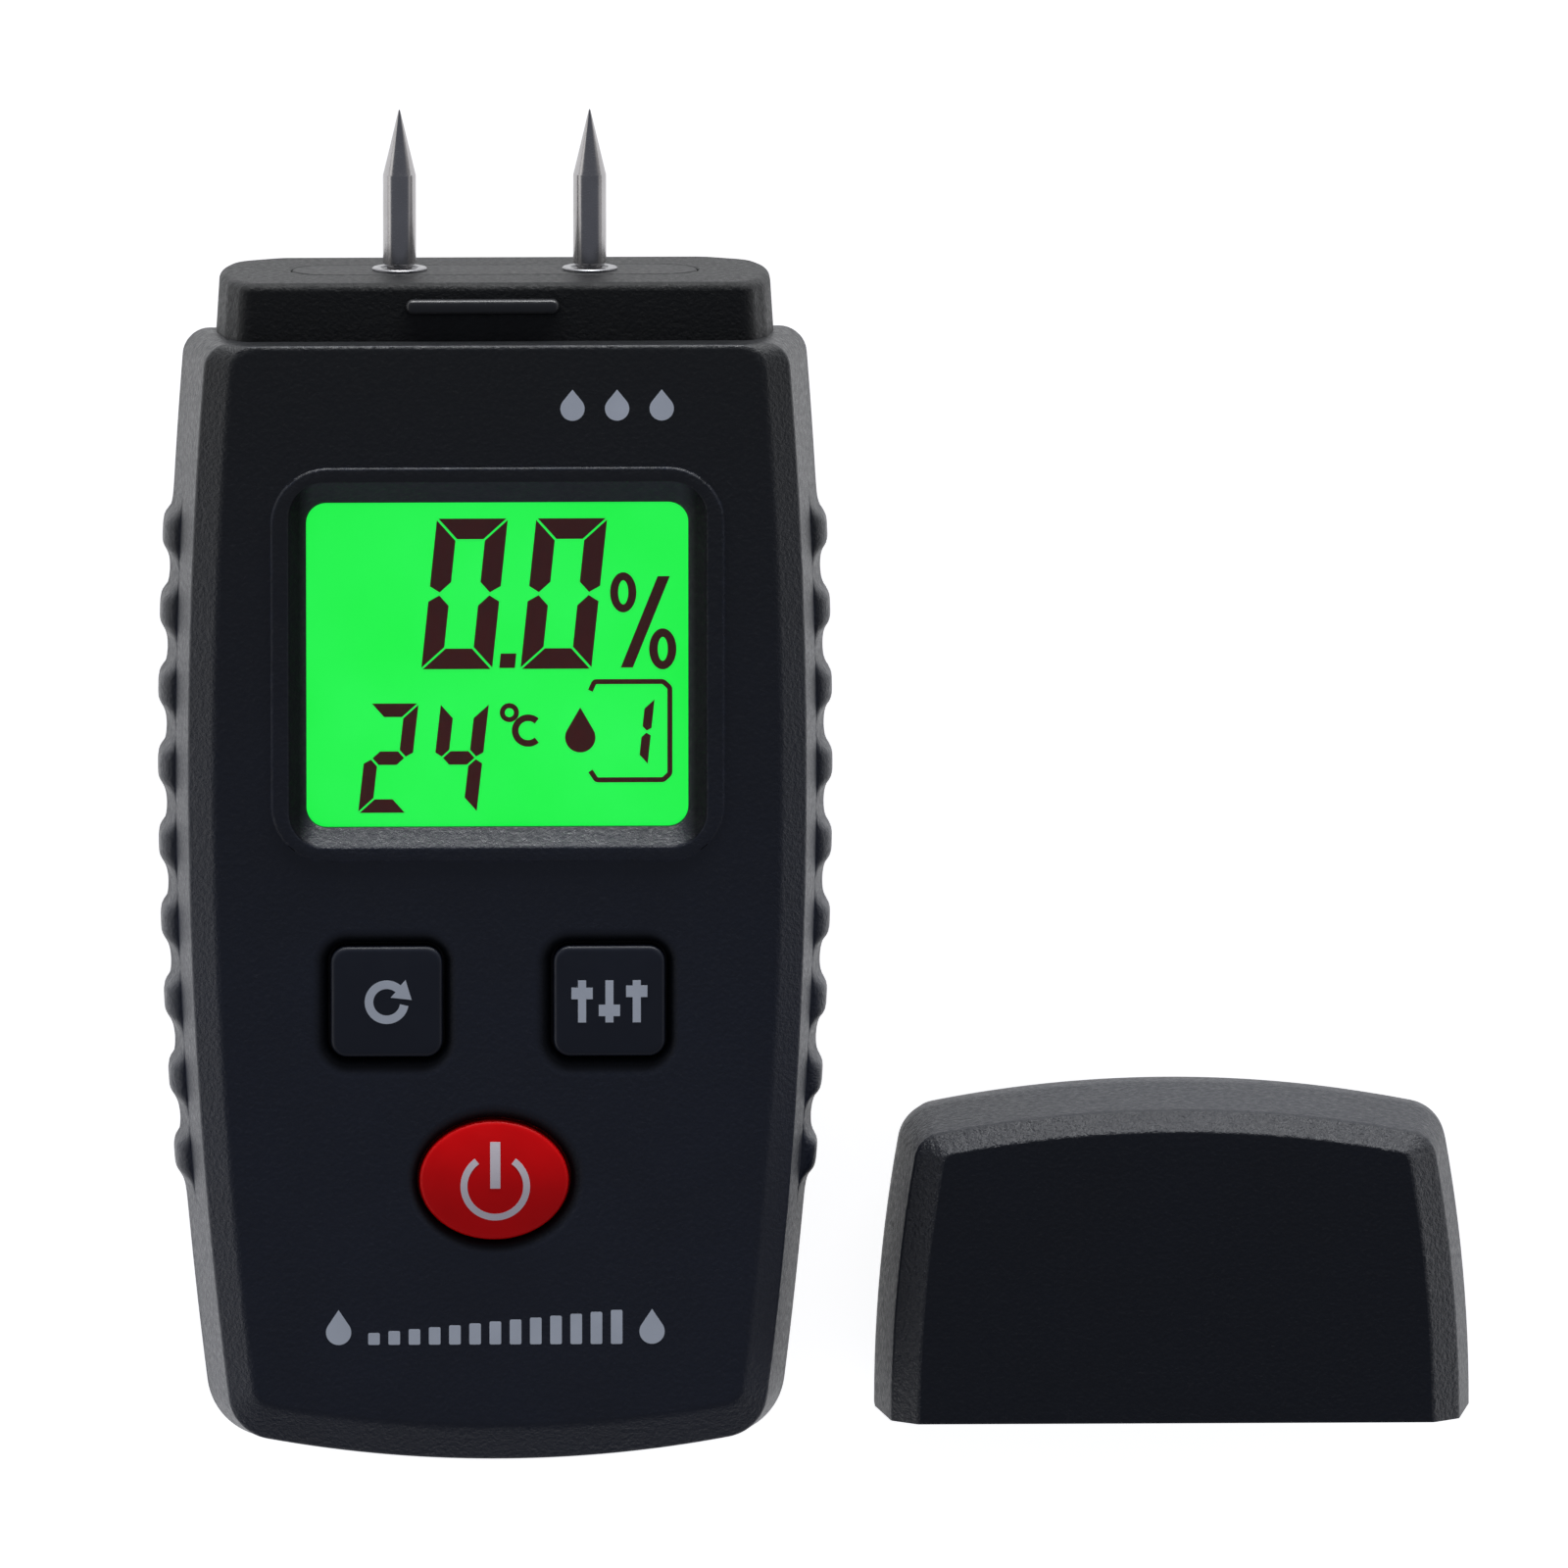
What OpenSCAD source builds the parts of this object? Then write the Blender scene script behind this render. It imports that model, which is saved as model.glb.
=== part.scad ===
// Two-pin moisture meter with a pull-off pin cap.
// The meter lies on its back: +Z is out of the display, +Y runs towards the pins,
// and the origin is the middle of the flat back.

/* [Housing] */
// Length of the housing from its foot to the shoulder
body_l = 113; // [108:0.1:120]
// Widest half width, at the joint between the two shells
half_w = 32.5; // [31.5:0.1:34]
// Height of the front face above the back
body_t = 27; // [26.5:0.1:28]
// Height of the joint between the two shells
part_z = 14; // [13.5:0.1:14.5]
// Radius of the bowed long sides
side_r = 500; // [400:10:800]
// Radius of the bowed foot
foot_r = 126; // [110:1:160]
// Plan radius of the two foot corners
foot_corner = 5.5; // [5:0.1:8]
// Plan radius of the two shoulder corners
top_corner = 2.5; // [1.5:0.1:4]
// Wall thickness of both shells
wall = 2; // [1.8:0.1:2.4]
// Number of grip ridges on each side
ridges = 9; // [3:1:10]
// Distance from one grip ridge to the next
ridge_pitch = 7.8; // [7:0.1:8]
// Middle of each row of grip ridges along the housing
ridge_mid_y = 5.3; // [4.5:0.1:6]

/* [Display] */
// Width of the display opening
lcd_w = 37.8; // [34:0.1:38.5]
// Height of the display opening
lcd_h = 32.8; // [28:0.1:33.5]
// Middle of the display along the housing
lcd_y = 24.7; // [24:0.1:25]

/* [Keys] */
// Side of the two square keys
key_w = 11; // [9:0.1:11.5]
// Distance of each square key from the middle line
key_x = 11; // [10.5:0.1:12]
// Middle of the square keys along the housing
key_y = -8.9; // [-9.5:0.1:-8.5]
// Width of the oval power key
power_w = 14.8; // [13:0.1:15]
// Height of the oval power key
power_h = 11.9; // [10:0.1:12]
// Middle of the power key along the housing
power_y = -26.8; // [-28:0.1:-26]
// Power key: offset across the housing
power_x = -0.4; // [-0.5:0.1:0.5]
// Travel of a key
key_travel = 0.6; // [0.3:0.1:0.7]

/* [Head and pins] */
// Half width of the head at its middle plane
head_half_w = 27.7; // [27:0.1:28]
// Height of the head above the shoulder
head_rise = 5.7; // [4.5:0.1:7]
// Distance between the two pins
pin_pitch = 18.8; // [15:0.1:24]
// Radius of a pin
pin_r = 1.65; // [1.3:0.05:1.8]
// Length of a pin above its collar
pin_l = 15.4; // [10:0.1:18]
// Length of the ground point of a pin
pin_point = 6.4; // [4:0.1:8]

/* [Cap] */
// Half width of the cap at its rim
cap_half_w = 29.5; // [29.3:0.1:30.5]
// Height of the cap from rim to crown
cap_h = 32.4; // [30:0.1:36]
// Depth of the cap from back to front
cap_t = 26.4; // [26.2:0.1:27]
// Place of the cap beside the meter, its rim's middle
cap_at = [67.1, -51.5];

/* [Hidden] */
$fn = 48;

foot_y = -body_l / 2;
shoulder_y = body_l / 2;
head_top = shoulder_y + head_rise;
ceiling = body_t - wall - 0.2;

// Insets of the outline from the joint plane, as [height, inset]
front_layers = [[part_z, 0], [body_t - 2.2, 1.95], [body_t, 4.55]];
rear_layers = [[0, 3.6], [1.2, 2.2], [4, 1.2], [part_z, 0]];
slab = 0.01;

// Bowed outline: side arc centre, foot arc centre, and the corner circle that touches both
widest_y = foot_y + 70;
side_c = [half_w - side_r, widest_y];
foot_c = [0, foot_y + foot_r];
corner_c = meet(side_c, side_r - foot_corner, foot_c, foot_r - foot_corner);

// Display stack, from the printed board up
pcb_t = 1.6;
pcb_top = 19.1;
backlight_z = pcb_top + 0.1;
glass_z = 21.5;
glass_t = 2.6;
lens_z = 24.2;
lens_t = 1;
bezel_w = 44.6;
bezel_h = 39.1;
bezel_rise = 0.25;

// Keys and switches
key_gap = 0.3;
key_top = body_t + 0.3;
dish_floor = body_t - 0.9;
flange_z = 23.7;
flange_t = 0.8;
switch_top = pcb_top + 3.5;
plunger_r = 1.75;
power_flange = [power_w + 2, power_h + 2];

// Screw places
case_screw_at = [[24.5, 47.2], [-24.5, 47.2], [21.6, -46], [-21.6, -46]];
pcb_screw_at = [[24.4, 40], [-24.4, 40], [22, -38], [-22, -38]];
boss_r = 3;

// Battery bay and its sliding door
cell_r = 5.2;
cell_l = 43.6;
cell_x = 10.8;
cell_z = 7.75;
bay_half_w = 16.6;
bay_top = 13.1;
bay_y = [-52, -2.7];
door_y = -2.3;
door_half_w = 16.4;
tongue_half_w = 17.3;
door_t = 2.15;
door_gap = 0.3;

// Head
head_mid = 13.4;
head_half_t = 10.8;
head_inner_y = 51;
neck_in = 1;
ridge_x = -1.4;
plate_half_w = 16.45;
plate_r = 3.55;
plate_t = 1.6;
collar_t = 0.6;

// ---------- outline functions ----------
function arc(c, r, a0, a1, n) =
    [for (i = [0:n]) c + r * [cos(a0 + (a1 - a0) * i / n), sin(a0 + (a1 - a0) * i / n)]];

// Lower right meeting point of two circles
function meet(c1, r1, c2, r2) =
    let (d = norm(c2 - c1), u = (c2 - c1) / d, a = (r1 * r1 - r2 * r2 + d * d) / (2 * d),
         h = sqrt(r1 * r1 - a * a))
    c1 + a * u + h * [u[1], -u[0]];

function heading(v) = atan2(v[1], v[0]);
function mirrored(pts) = [for (i = [len(pts) - 1:-1:0]) [-pts[i][0], pts[i][1]]];

// Plan outline of the housing, pulled in by inset on its sides and foot
function outline(inset) =
    let (a_foot = heading(corner_c - foot_c), a_side = heading(corner_c - side_c),
         rise = shoulder_y - top_corner - side_c[1],
         top_c = [side_c[0] + sqrt(pow(side_r - inset - top_corner, 2) - rise * rise),
                  shoulder_y - top_corner],
         right = concat(arc(foot_c, foot_r - inset, -90, a_foot, 7),
                        arc(corner_c, foot_corner - inset, a_foot, a_side, 6),
                        arc(side_c, side_r - inset, a_side, heading(top_c - side_c), 10),
                        arc(top_c, top_corner, heading(top_c - side_c), 90, 5)))
    concat(right, mirrored(right));

// Half width of the housing at y, in the joint plane
function half_width(y) = side_c[0] + sqrt(side_r * side_r - pow(y - side_c[1], 2));

function round_box(w, h, r, n = 5) =
    [for (q = [0:3]) let (s = [[1, 1], [-1, 1], [-1, -1], [1, -1]][q])
        each arc([s[0] * (w / 2 - r), s[1] * (h / 2 - r)], r, q * 90, q * 90 + 90, n)];

function oval(w, h, n = 48) = [for (i = [0:n - 1]) [w / 2 * cos(360 * i / n), h / 2 * sin(360 * i / n)]];

function racetrack(half, r) = concat(arc([half, 0], r, -90, 90, 10), arc([-half, 0], r, 90, 270, 10));

// Section of the head across the meter, grown by gap
function head_section(gap = 0) =
    let (w = head_half_w + gap, t = head_half_t + gap,
         quarter = [[w, 3], [w - 1.2, t - 1.6], [w - 2.4, t]])
    concat(quarter, [for (i = [2:-1:0]) [-quarter[i][0], quarter[i][1]]],
           [for (i = [0:2]) -quarter[i]], [for (i = [2:-1:0]) [quarter[i][0], -quarter[i][1]]]);

// Front outline of the cap from its rim, pulled in by inset on its sides and crown
function cap_outline(inset, rim = 0) =
    let (crown_r = 122, r = 4, c = [0, cap_h - crown_r],
         foot = [cap_half_w, 0], kink = [cap_half_w - 0.3, 8.7], lean = 8,
         n = [cos(lean), sin(lean)],
         reach = kink * n - r, // distance of the corner centre along the lean's normal
         t = sqrt(pow(crown_r - r, 2) - pow(reach - c * n, 2)),
         k = c + (reach - c * n) * n + t * [-n[1], n[0]],
         right = concat([[foot[0] - inset, rim], kink - [inset, 0]],
                        arc(k, r - min(inset, r - 0.4), lean, heading(k - c), 5),
                        arc(c, crown_r - inset, heading(k - c), 90, 6)))
    concat(right, mirrored(right));

// ---------- shared solids ----------
module slabs(layers) {
    hull()
        for (l = layers)
            translate([0, 0, min(l[0], max([for (m = layers) m[0]]) - slab)])
                linear_extrude(slab) polygon(outline(l[1]));
}

module at_each(places, z = 0) {
    for (p = places)
        translate([p[0], p[1], z]) children();
}

module along_y(at, y0, y1) {
    translate([at[0], y0, at[1]]) rotate([-90, 0, 0]) linear_extrude(y1 - y0) children();
}

module head_prism(gap, y0, y1) {
    along_y([0, head_mid], y0, y1) polygon(head_section(gap));
}

// Grip ridges on both sides, leaning with the draft of the wall
module ridge_bars(z0, z1, lean) {
    for (side = [-1, 1], i = [0:ridges - 1]) {
        y = ridge_mid_y + (i - (ridges - 1) / 2) * ridge_pitch;
        translate([side * (half_width(y) + 0.9), y, part_z])
            mirror([side < 0 ? 1 : 0, 0, 0])
                rotate([0, -lean, 0])
                    translate([0, 0, z0 - part_z])
                        linear_extrude(z1 - z0)
                            polygon([[0, -1.2], [0, 1.2], [-0.9, 2.5], [-2, 2.5], [-2, -2.5], [-0.9, -2.5]]);
    }
}

module screw(head_r, head_h, shank_r, length) {
    difference() {
        union() {
            cylinder(r = head_r, h = head_h);
            cylinder(r = shank_r, h = head_h + length);
        }
        for (turn = [0, 90])
            rotate([0, 0, turn]) translate([-head_r * 0.62, -0.3, -1]) cube([head_r * 1.24, 0.6, 1.9]);
    }
}

module chip(size, legs, pitch) {
    translate([-size[0] / 2, -size[1] / 2, -size[2]]) cube(size);
    for (side = [-1, 1], i = [0:legs - 1])
        translate([side * (size[0] / 2 + 0.5) - 0.55, (i - (legs - 1) / 2) * pitch - 0.2, -0.5]) cube([1.1, 0.4, 0.5]);
}

// ---------- housing ----------
module front_shell() {
    color("#22252c")
        difference() {
            union() {
                difference() {
                    union() {
                        slabs(front_layers);
                        intersection() {
                            ridge_bars(part_z - 3, 20.3, 13);
                            translate([-50, -60, part_z]) cube([100, 120, 20]);
                        }
                        translate([0, lcd_y, body_t - 1]) linear_extrude(1 + bezel_rise)
                            polygon(round_box(bezel_w, bezel_h, 5.8));
                    }
                    slabs_inside([[part_z - 1, wall], [ceiling - 1, wall + 1.9], [ceiling, wall + 3]]);
                }
                at_each(case_screw_at, part_z) cylinder(r = boss_r, h = ceiling + 0.5 - part_z);
                at_each(pcb_screw_at, pcb_top) cylinder(r = 1.9, h = ceiling + 0.5 - pcb_top);
            }
            at_each(case_screw_at, part_z - 1) cylinder(r = 1.05, h = 9);
            at_each(pcb_screw_at, pcb_top - 1) cylinder(r = 0.85, h = 5);
            bezel_opening();
            for (side = [-1, 1])
                translate([side * key_x, key_y, 0])
                    key_opening(round_box(key_w + 3.6, key_w + 3.8, 4), round_box(key_w + 1, key_w + 1, 2),
                                round_box(key_w + 2 * key_gap, key_w + 2 * key_gap, 1.9));
            translate([power_x, power_y, 0])
                key_opening(oval(power_w + 3, power_h + 4), oval(power_w + 1, power_h + 1),
                            oval(power_w + 2 * key_gap, power_h + 2 * key_gap));
            head_prism(0.2 - neck_in, shoulder_y - wall - 1, shoulder_y + 1);
        }
}

// Cavity of a shell: its shoulder wall stays
module slabs_inside(layers) {
    intersection() {
        slabs(layers);
        translate([-50, -60, -1]) cube([100, 60 + shoulder_y - wall, 40]);
    }
}

module bezel_opening() {
    translate([0, lcd_y, 0]) {
        hull() {
            translate([0, 0, body_t + bezel_rise]) linear_extrude(slab)
                polygon(round_box(lcd_w + 3.8, lcd_h + 3.8, 3.8));
            translate([0, 0, body_t - 1.4]) linear_extrude(slab) polygon(round_box(lcd_w, lcd_h, 1.9));
        }
        translate([0, 0, ceiling - 1]) linear_extrude(4) polygon(round_box(lcd_w, lcd_h, 1.9));
        translate([0, 0, ceiling - 1]) linear_extrude(1 + lens_z + lens_t + 0.05 - ceiling)
            polygon(round_box(lcd_w + 3.6, lcd_h + 3.6, 2.5));
    }
}

module key_opening(dish, dish_foot, hole) {
    hull() {
        translate([0, 0, body_t]) linear_extrude(slab) polygon(dish);
        translate([0, 0, dish_floor]) linear_extrude(slab) polygon(dish_foot);
    }
    translate([0, 0, ceiling - 1]) linear_extrude(4) polygon(hole);
}

module rear_shell() {
    color("#1f2228")
        difference() {
            union() {
                difference() {
                    union() {
                        slabs(rear_layers);
                        intersection() {
                            ridge_bars(5, part_z + 3, -5);
                            translate([-50, -60, part_z - 20]) cube([100, 120, 20]);
                        }
                    }
                    slabs_inside([[wall, wall + 3], [4, wall + 1.3], [part_z + 1, wall]]);
                }
                intersection() {
                    slabs(rear_layers);
                    translate([-18.5, -54.5, 0.5]) cube([37, 54.2, bay_top + 1.2 - 0.5]);
                }
                shell_lip();
                at_each(case_screw_at, 0.5) cylinder(r = 3.4, h = part_z - 0.5);
            }
            translate([-bay_half_w, bay_y[0], -1]) cube([2 * bay_half_w, bay_y[1] - bay_y[0], bay_top + 1]);
            translate([-door_half_w - door_gap, -70, -1]) cube([2 * (door_half_w + door_gap), 70 + door_y + door_gap, 2.2]);
            translate([-tongue_half_w - door_gap, -70, 1.2])
                cube([2 * (tongue_half_w + door_gap), 70 + door_y + door_gap, 1.2]);
            for (s = [[-cell_x, bay_y[0]], [cell_x, bay_y[1] - 1]])
                translate([s[0] - 1.8, s[1], bay_top - 1]) cube([3.6, 1, 3]);
            at_each(case_screw_at, -1) cylinder(r = 1.35, h = 20);
            at_each(case_screw_at, -1) cylinder(r = 2.9, h = 5);
            head_prism(0.2 - neck_in, shoulder_y - wall - 1, shoulder_y + 1);
        }
}

// Tongue that stands inside the front shell and lines the two shells up
module shell_lip() {
    translate([0, 0, part_z - 1.5])
        intersection() {
            linear_extrude(2.6)
                difference() {
                    polygon(outline(wall + 0.6));
                    polygon(outline(wall + 1.4));
                }
            translate([-50, -60, 0]) cube([100, 103, 4]);
        }
}

module battery_door() {
    color("#24272e")
        difference() {
            intersection() {
                slabs(rear_layers);
                union() {
                    translate([-door_half_w, -60, 0.15]) cube([2 * door_half_w, 60 + door_y, door_t - 0.15]);
                    translate([-tongue_half_w, -60, 1.45]) cube([2 * tongue_half_w, 60 + door_y, door_t - 1.45]);
                }
            }
            for (i = [0:5])
                translate([-7, -14 + i * 1.8, -1]) cube([14, 0.8, 1.5]);
        }
}

// ---------- head and pins ----------
module head_block() {
    color("#1d2026")
        difference() {
            union() {
                hull() {
                    head_prism(0, shoulder_y + 0.1, head_top - 1.2);
                    head_prism(-1.1, head_top - 1, head_top);
                }
                head_prism(-neck_in, head_inner_y + 1, head_top - 2);
                head_prism(0, head_inner_y, shoulder_y - wall - 0.2);
                for (face = [-1, 1])
                    translate([ridge_x - 7.6, head_top - 3.1, head_mid + face * (head_half_t + 0.1) - 0.25]) cube([15.2, 1.6, 0.5]);
            }
            difference() {
                along_y([0, head_mid], head_inner_y - 1, head_top - 2.5)
                    square([50, 2 * head_half_t - 4.8], center = true);
                for (side = [-1, 1])
                    along_y([side * pin_pitch / 2, head_mid], 53.2, head_top) circle(r = 4.2);
            }
            for (side = [-1, 1])
                along_y([side * pin_pitch / 2, head_mid], 50, head_top + 1) circle(r = 2.65);
            along_y([0, head_mid], head_top - plate_t - 0.05, head_top + 1)
                polygon(racetrack(plate_half_w, plate_r + 0.2));
        }
}

module pin_plate() {
    color("#1b1d22")
        difference() {
            along_y([0, head_mid], head_top - plate_t, head_top) polygon(racetrack(plate_half_w, plate_r));
            for (side = [-1, 1])
                along_y([side * pin_pitch / 2, head_mid], head_top - 3, head_top + 1) circle(r = 1.4);
        }
}

module pin(side) {
    color("#b9bbc0")
        translate([side * pin_pitch / 2, head_top + collar_t, head_mid])
            rotate([-90, 0, 0]) {
                cylinder(r = pin_r, h = pin_l - pin_point);
                translate([0, 0, pin_l - pin_point]) cylinder(r1 = pin_r, r2 = 0.08, h = pin_point);
                translate([0, 0, -6.6]) cylinder(r = 1.25, h = 6.7);
            }
}

module left_pin() pin(-1);
module right_pin() pin(1);

module pin_collars() {
    color("#d4d6da")
        for (side = [-1, 1])
            along_y([side * pin_pitch / 2, head_mid], head_top, head_top + collar_t)
                difference() {
                    circle(r = 2.75);
                    circle(r = 1.35);
                }
}

module pin_sockets() {
    color("#c9a24a")
        for (side = [-1, 1])
            along_y([side * pin_pitch / 2, head_mid], 53, head_top - plate_t - 0.1)
                difference() {
                    circle(r = 2.6);
                    circle(r = 1.3);
                }
}

module pin_contact_strips() {
    color("#c9a24a")
        for (side = [-1, 1])
            translate([side * pin_pitch / 2 - 2, 0, 0]) {
                translate([0, 52.5, head_mid - 2.6]) cube([4, 0.4, pcb_top - pcb_t - 0.1 - head_mid + 2.6]);
                translate([0, 42.5, pcb_top - pcb_t - 0.5]) cube([4, 10.4, 0.4]);
            }
}

// ---------- display ----------
module window_lens() {
    color("#dfe8ea", 0.4)
        translate([0, lcd_y, lens_z]) linear_extrude(lens_t)
            polygon(round_box(lcd_w + 3.2, lcd_h + 3.2, 2.3));
}

module lcd_panel() {
    color("#2af655")
        translate([0, lcd_y, glass_z]) linear_extrude(glass_t) polygon(round_box(42, 37, 0.5, 2));
}

module lcd_holder() {
    color("#e6e6e2")
        translate([0, lcd_y, backlight_z])
            difference() {
                linear_extrude(lens_z - 0.15 - backlight_z) polygon(round_box(44.4, 40, 1.2, 3));
                translate([0, 0, -1]) linear_extrude(10) polygon(round_box(42.2, 37.2, 0.6, 2));
            }
}

module backlight_panel() {
    color("#eaf7ea")
        translate([-19, lcd_y - 15.5, backlight_z]) cube([38, 31, glass_z - backlight_z - 0.1]);
}

module backlight_leds() {
    color("#f2f0c0")
        for (x = [-8, 8])
            translate([19.2, lcd_y + x - 1.5, backlight_z]) cube([1.4, 3, 1.2]);
}

module contact_rubbers() {
    color("#c98f8f")
        for (side = [-1, 1])
            translate([-18, lcd_y + side * 17.2 - 0.9, backlight_z]) cube([36, 1.8, glass_z - backlight_z - 0.05]);
}

// ---------- electronics ----------
module main_pcb() {
    color("#1f6b3a")
        difference() {
            translate([0, 0, pcb_top - pcb_t]) linear_extrude(pcb_t)
                polygon([[-21, -42.5], [21, -42.5], [25, -38], [26.4, -20], [26.4, 43.3], [19.5, 43.3], [18.5, 46], [-18.5, 46], [-19.5, 43.3], [-26.4, 43.3], [-26.4, -20], [-25, -38]]);
            at_each(pcb_screw_at, pcb_top - pcb_t - 1) cylinder(r = 1.1, h = pcb_t + 2);
        }
}

module controller_chip() {
    color("#16171a") translate([-4, 22, pcb_top - pcb_t]) chip([9, 12, 1.6], 12, 0.9);
}

module amplifier_chip() {
    color("#16171a") translate([10, 36, pcb_top - pcb_t]) chip([4, 5, 1.5], 4, 1.27);
}

module clock_crystal() {
    color("#c5c7cb")
        translate([-17, 14, pcb_top - pcb_t - 3.5]) linear_extrude(3.5) polygon(racetrack(3.5, 2));
}

module smoothing_capacitor() {
    color("#2b3a6b") translate([20, 6, pcb_top - pcb_t - 7]) cylinder(r = 3.1, h = 7);
}

module chip_resistors() {
    color("#2b2b2b")
        for (i = [0:3], j = [0:1])
            translate([2 + i * 3.2, 6 + 8 * j, pcb_top - pcb_t - 0.6]) cube([2, 1.2, 0.6]);
}

module temperature_sensor() {
    color("#3c3c3c")
        translate([20, 38, pcb_top - pcb_t - 3]) {
            sphere(r = 1.5);
            for (x = [-0.7, 0.7])
                translate([x, 0, 0]) cylinder(r = 0.25, h = 3);
        }
}

// ---------- keys ----------
module key_body(top, flange) {
    translate([0, 0, flange_z]) linear_extrude(key_top - flange_z) polygon(top);
    translate([0, 0, flange_z]) linear_extrude(flange_t) polygon(flange);
}

module mode_key() {
    color("#1a1c22") translate([-key_x, key_y, 0])
        key_body(round_box(key_w, key_w, 1.6), round_box(key_w + 1.8, key_w + 1.8, 2));
}

module set_key() {
    color("#1a1c22") translate([key_x, key_y, 0])
        key_body(round_box(key_w, key_w, 1.6), round_box(key_w + 1.8, key_w + 1.8, 2));
}

module power_key() {
    color("#c2000f") translate([power_x, power_y, 0])
        key_body(oval(power_w, power_h), oval(power_flange[0], power_flange[1]));
}

module plunger() {
    color("#e8e2d0") translate([0, 0, flange_z - 2.5]) cylinder(r = plunger_r, h = 2.5);
}

module mode_plunger() { translate([-key_x, key_y, 0]) plunger(); }
module set_plunger() { translate([key_x, key_y, 0]) plunger(); }
module power_plunger() { translate([power_x, power_y, 0]) plunger(); }

module switch_bodies() {
    color("#2a2a2d")
        at_each([[-key_x, key_y], [key_x, key_y], [power_x, power_y]])
            difference() {
                translate([-3, -3, pcb_top]) cube([6, 6, switch_top - pcb_top]);
                translate([0, 0, flange_z - 2.5 - key_travel - 0.2]) cylinder(r = plunger_r + 0.15, h = 4);
            }
}

// ---------- battery bay ----------
// up is 1 when the positive end points to the head
module battery(x, up) {
    y0 = up > 0 ? bay_y[0] + 4.1 : bay_y[1] - 4.1;
    color("#3e6a3f")
        translate([x, y0, cell_z])
            rotate([-90 * up, 0, 0]) {
                cylinder(r = cell_r, h = cell_l);
                cylinder(r = 1.9, h = cell_l + 0.9);
            }
}

module battery_1() battery(-cell_x, 1);
module battery_2() battery(0, -1);
module battery_3() battery(cell_x, 1);

function helix(r0, r1, turns, length, n) =
    [for (i = [0:n]) let (t = i / n, a = 360 * turns * t, r = r0 + (r1 - r0) * t)
        [r * cos(a), r * sin(a), length * t]];

module wire_along(path, r, sides = 6) {
    n = len(path) - 1;
    rings = [for (i = [0:n])
        let (t = path[min(i + 1, n)] - path[max(i - 1, 0)], u = t / norm(t),
             e = cross(u, [0, 0, 1]), e1 = e / norm(e), e2 = cross(u, e1))
        [for (k = [0:sides - 1]) path[i] + r * (cos(360 * k / sides) * e1 + sin(360 * k / sides) * e2)]];
    polyhedron(
        points = [for (ring = rings) each ring],
        faces = concat(
            [[for (k = [0:sides - 1]) k]],
            [for (i = [0:n - 1], k = [0:sides - 1])
                [i * sides + k, (i + 1) * sides + k, (i + 1) * sides + (k + 1) % sides, i * sides + (k + 1) % sides]],
            [[for (k = [sides - 1:-1:0]) n * sides + k]]));
}

module battery_springs() {
    color("#c9cbd0")
        for (s = [[-cell_x, 1], [0, -1], [cell_x, 1]])
            translate([s[0], s[1] > 0 ? bay_y[0] + 0.85 : bay_y[1] - 0.85, cell_z])
                rotate([-90 * s[1], 0, 0]) wire_along(helix(3.6, 2.2, 3, 2.8, 36), 0.35);
}

module battery_plates() {
    color("#c9cbd0") {
        for (p = [[-cell_x - 4.2, 8.4, bay_y[0]], [-3.9, 18.9, bay_y[0]],
                  [-15, 18.9, bay_y[1] - 0.4], [cell_x - 4.2, 8.4, bay_y[1] - 0.4]])
            translate([p[0], p[2], 3.4]) cube([p[1], 0.4, 8.8]);
        for (t = [[-cell_x, bay_y[0]], [cell_x, bay_y[1] - 0.4]])
            translate([t[0] - 1.5, t[1], 12]) cube([3, 0.4, pcb_top - pcb_t - 0.1 - 12]);
    }
}

// ---------- fasteners ----------
module case_screws() {
    color("#8e9096") at_each(case_screw_at, 2) screw(2.6, 2, 1, 16);
}

module pcb_screws() {
    color("#8e9096") at_each(pcb_screw_at, pcb_top - pcb_t - 1.2) screw(1.7, 1.2, 0.8, 5);
}

// ---------- cap ----------
module cap_slabs(layers, rim) {
    top = max([for (l = layers) l[0]]);
    hull()
        for (l = layers)
            translate([0, 0, min(l[0], top - slab)]) linear_extrude(slab) polygon(cap_outline(l[1], rim));
}

module protective_cap() {
    mid = cap_t / 2;
    color("#23262d")
        translate([cap_at[0], cap_at[1], 0])
            difference() {
                cap_slabs([[0, 4.2], [2, 2.2], [mid - 1.5, 0], [mid + 1.5, 0], [cap_t - 2, 2.2], [cap_t, 4.2]], 0);
                cap_slabs([[2.15, 4.05], [3.8, 2.75], [mid - 3, 1.55], [mid + 3, 1.55],
                           [cap_t - 3.8, 2.75], [cap_t - 2.15, 4.05]], -1);
                for (z = [1.9, cap_t - 2.4])
                    translate([ridge_x - 7.9, head_rise - 3.3, z]) cube([15.8, 2, 0.5]);
            }
}

front_shell();
rear_shell();
head_block();
pin_plate();
left_pin();
right_pin();
pin_collars();
pin_sockets();
pin_contact_strips();
window_lens();
lcd_panel();
lcd_holder();
backlight_panel();
backlight_leds();
contact_rubbers();
main_pcb();
controller_chip();
amplifier_chip();
clock_crystal();
smoothing_capacitor();
chip_resistors();
temperature_sensor();
mode_key();
set_key();
power_key();
mode_plunger();
set_plunger();
power_plunger();
switch_bodies();
battery_door();
battery_1();
battery_2();
battery_3();
battery_springs();
battery_plates();
case_screws();
pcb_screws();
protective_cap();
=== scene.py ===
"""Looks for a pin moisture meter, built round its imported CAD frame.

Shapes are worked out in millimetres in the CAD frame (+Z out of the display, +Y towards the pins,
origin in the middle of the flat back) and turned into metres as each mesh is made.
"""

import math

import bmesh
import bpy
from mathutils import Matrix, Vector
from mathutils.geometry import tessellate_polygon


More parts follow.
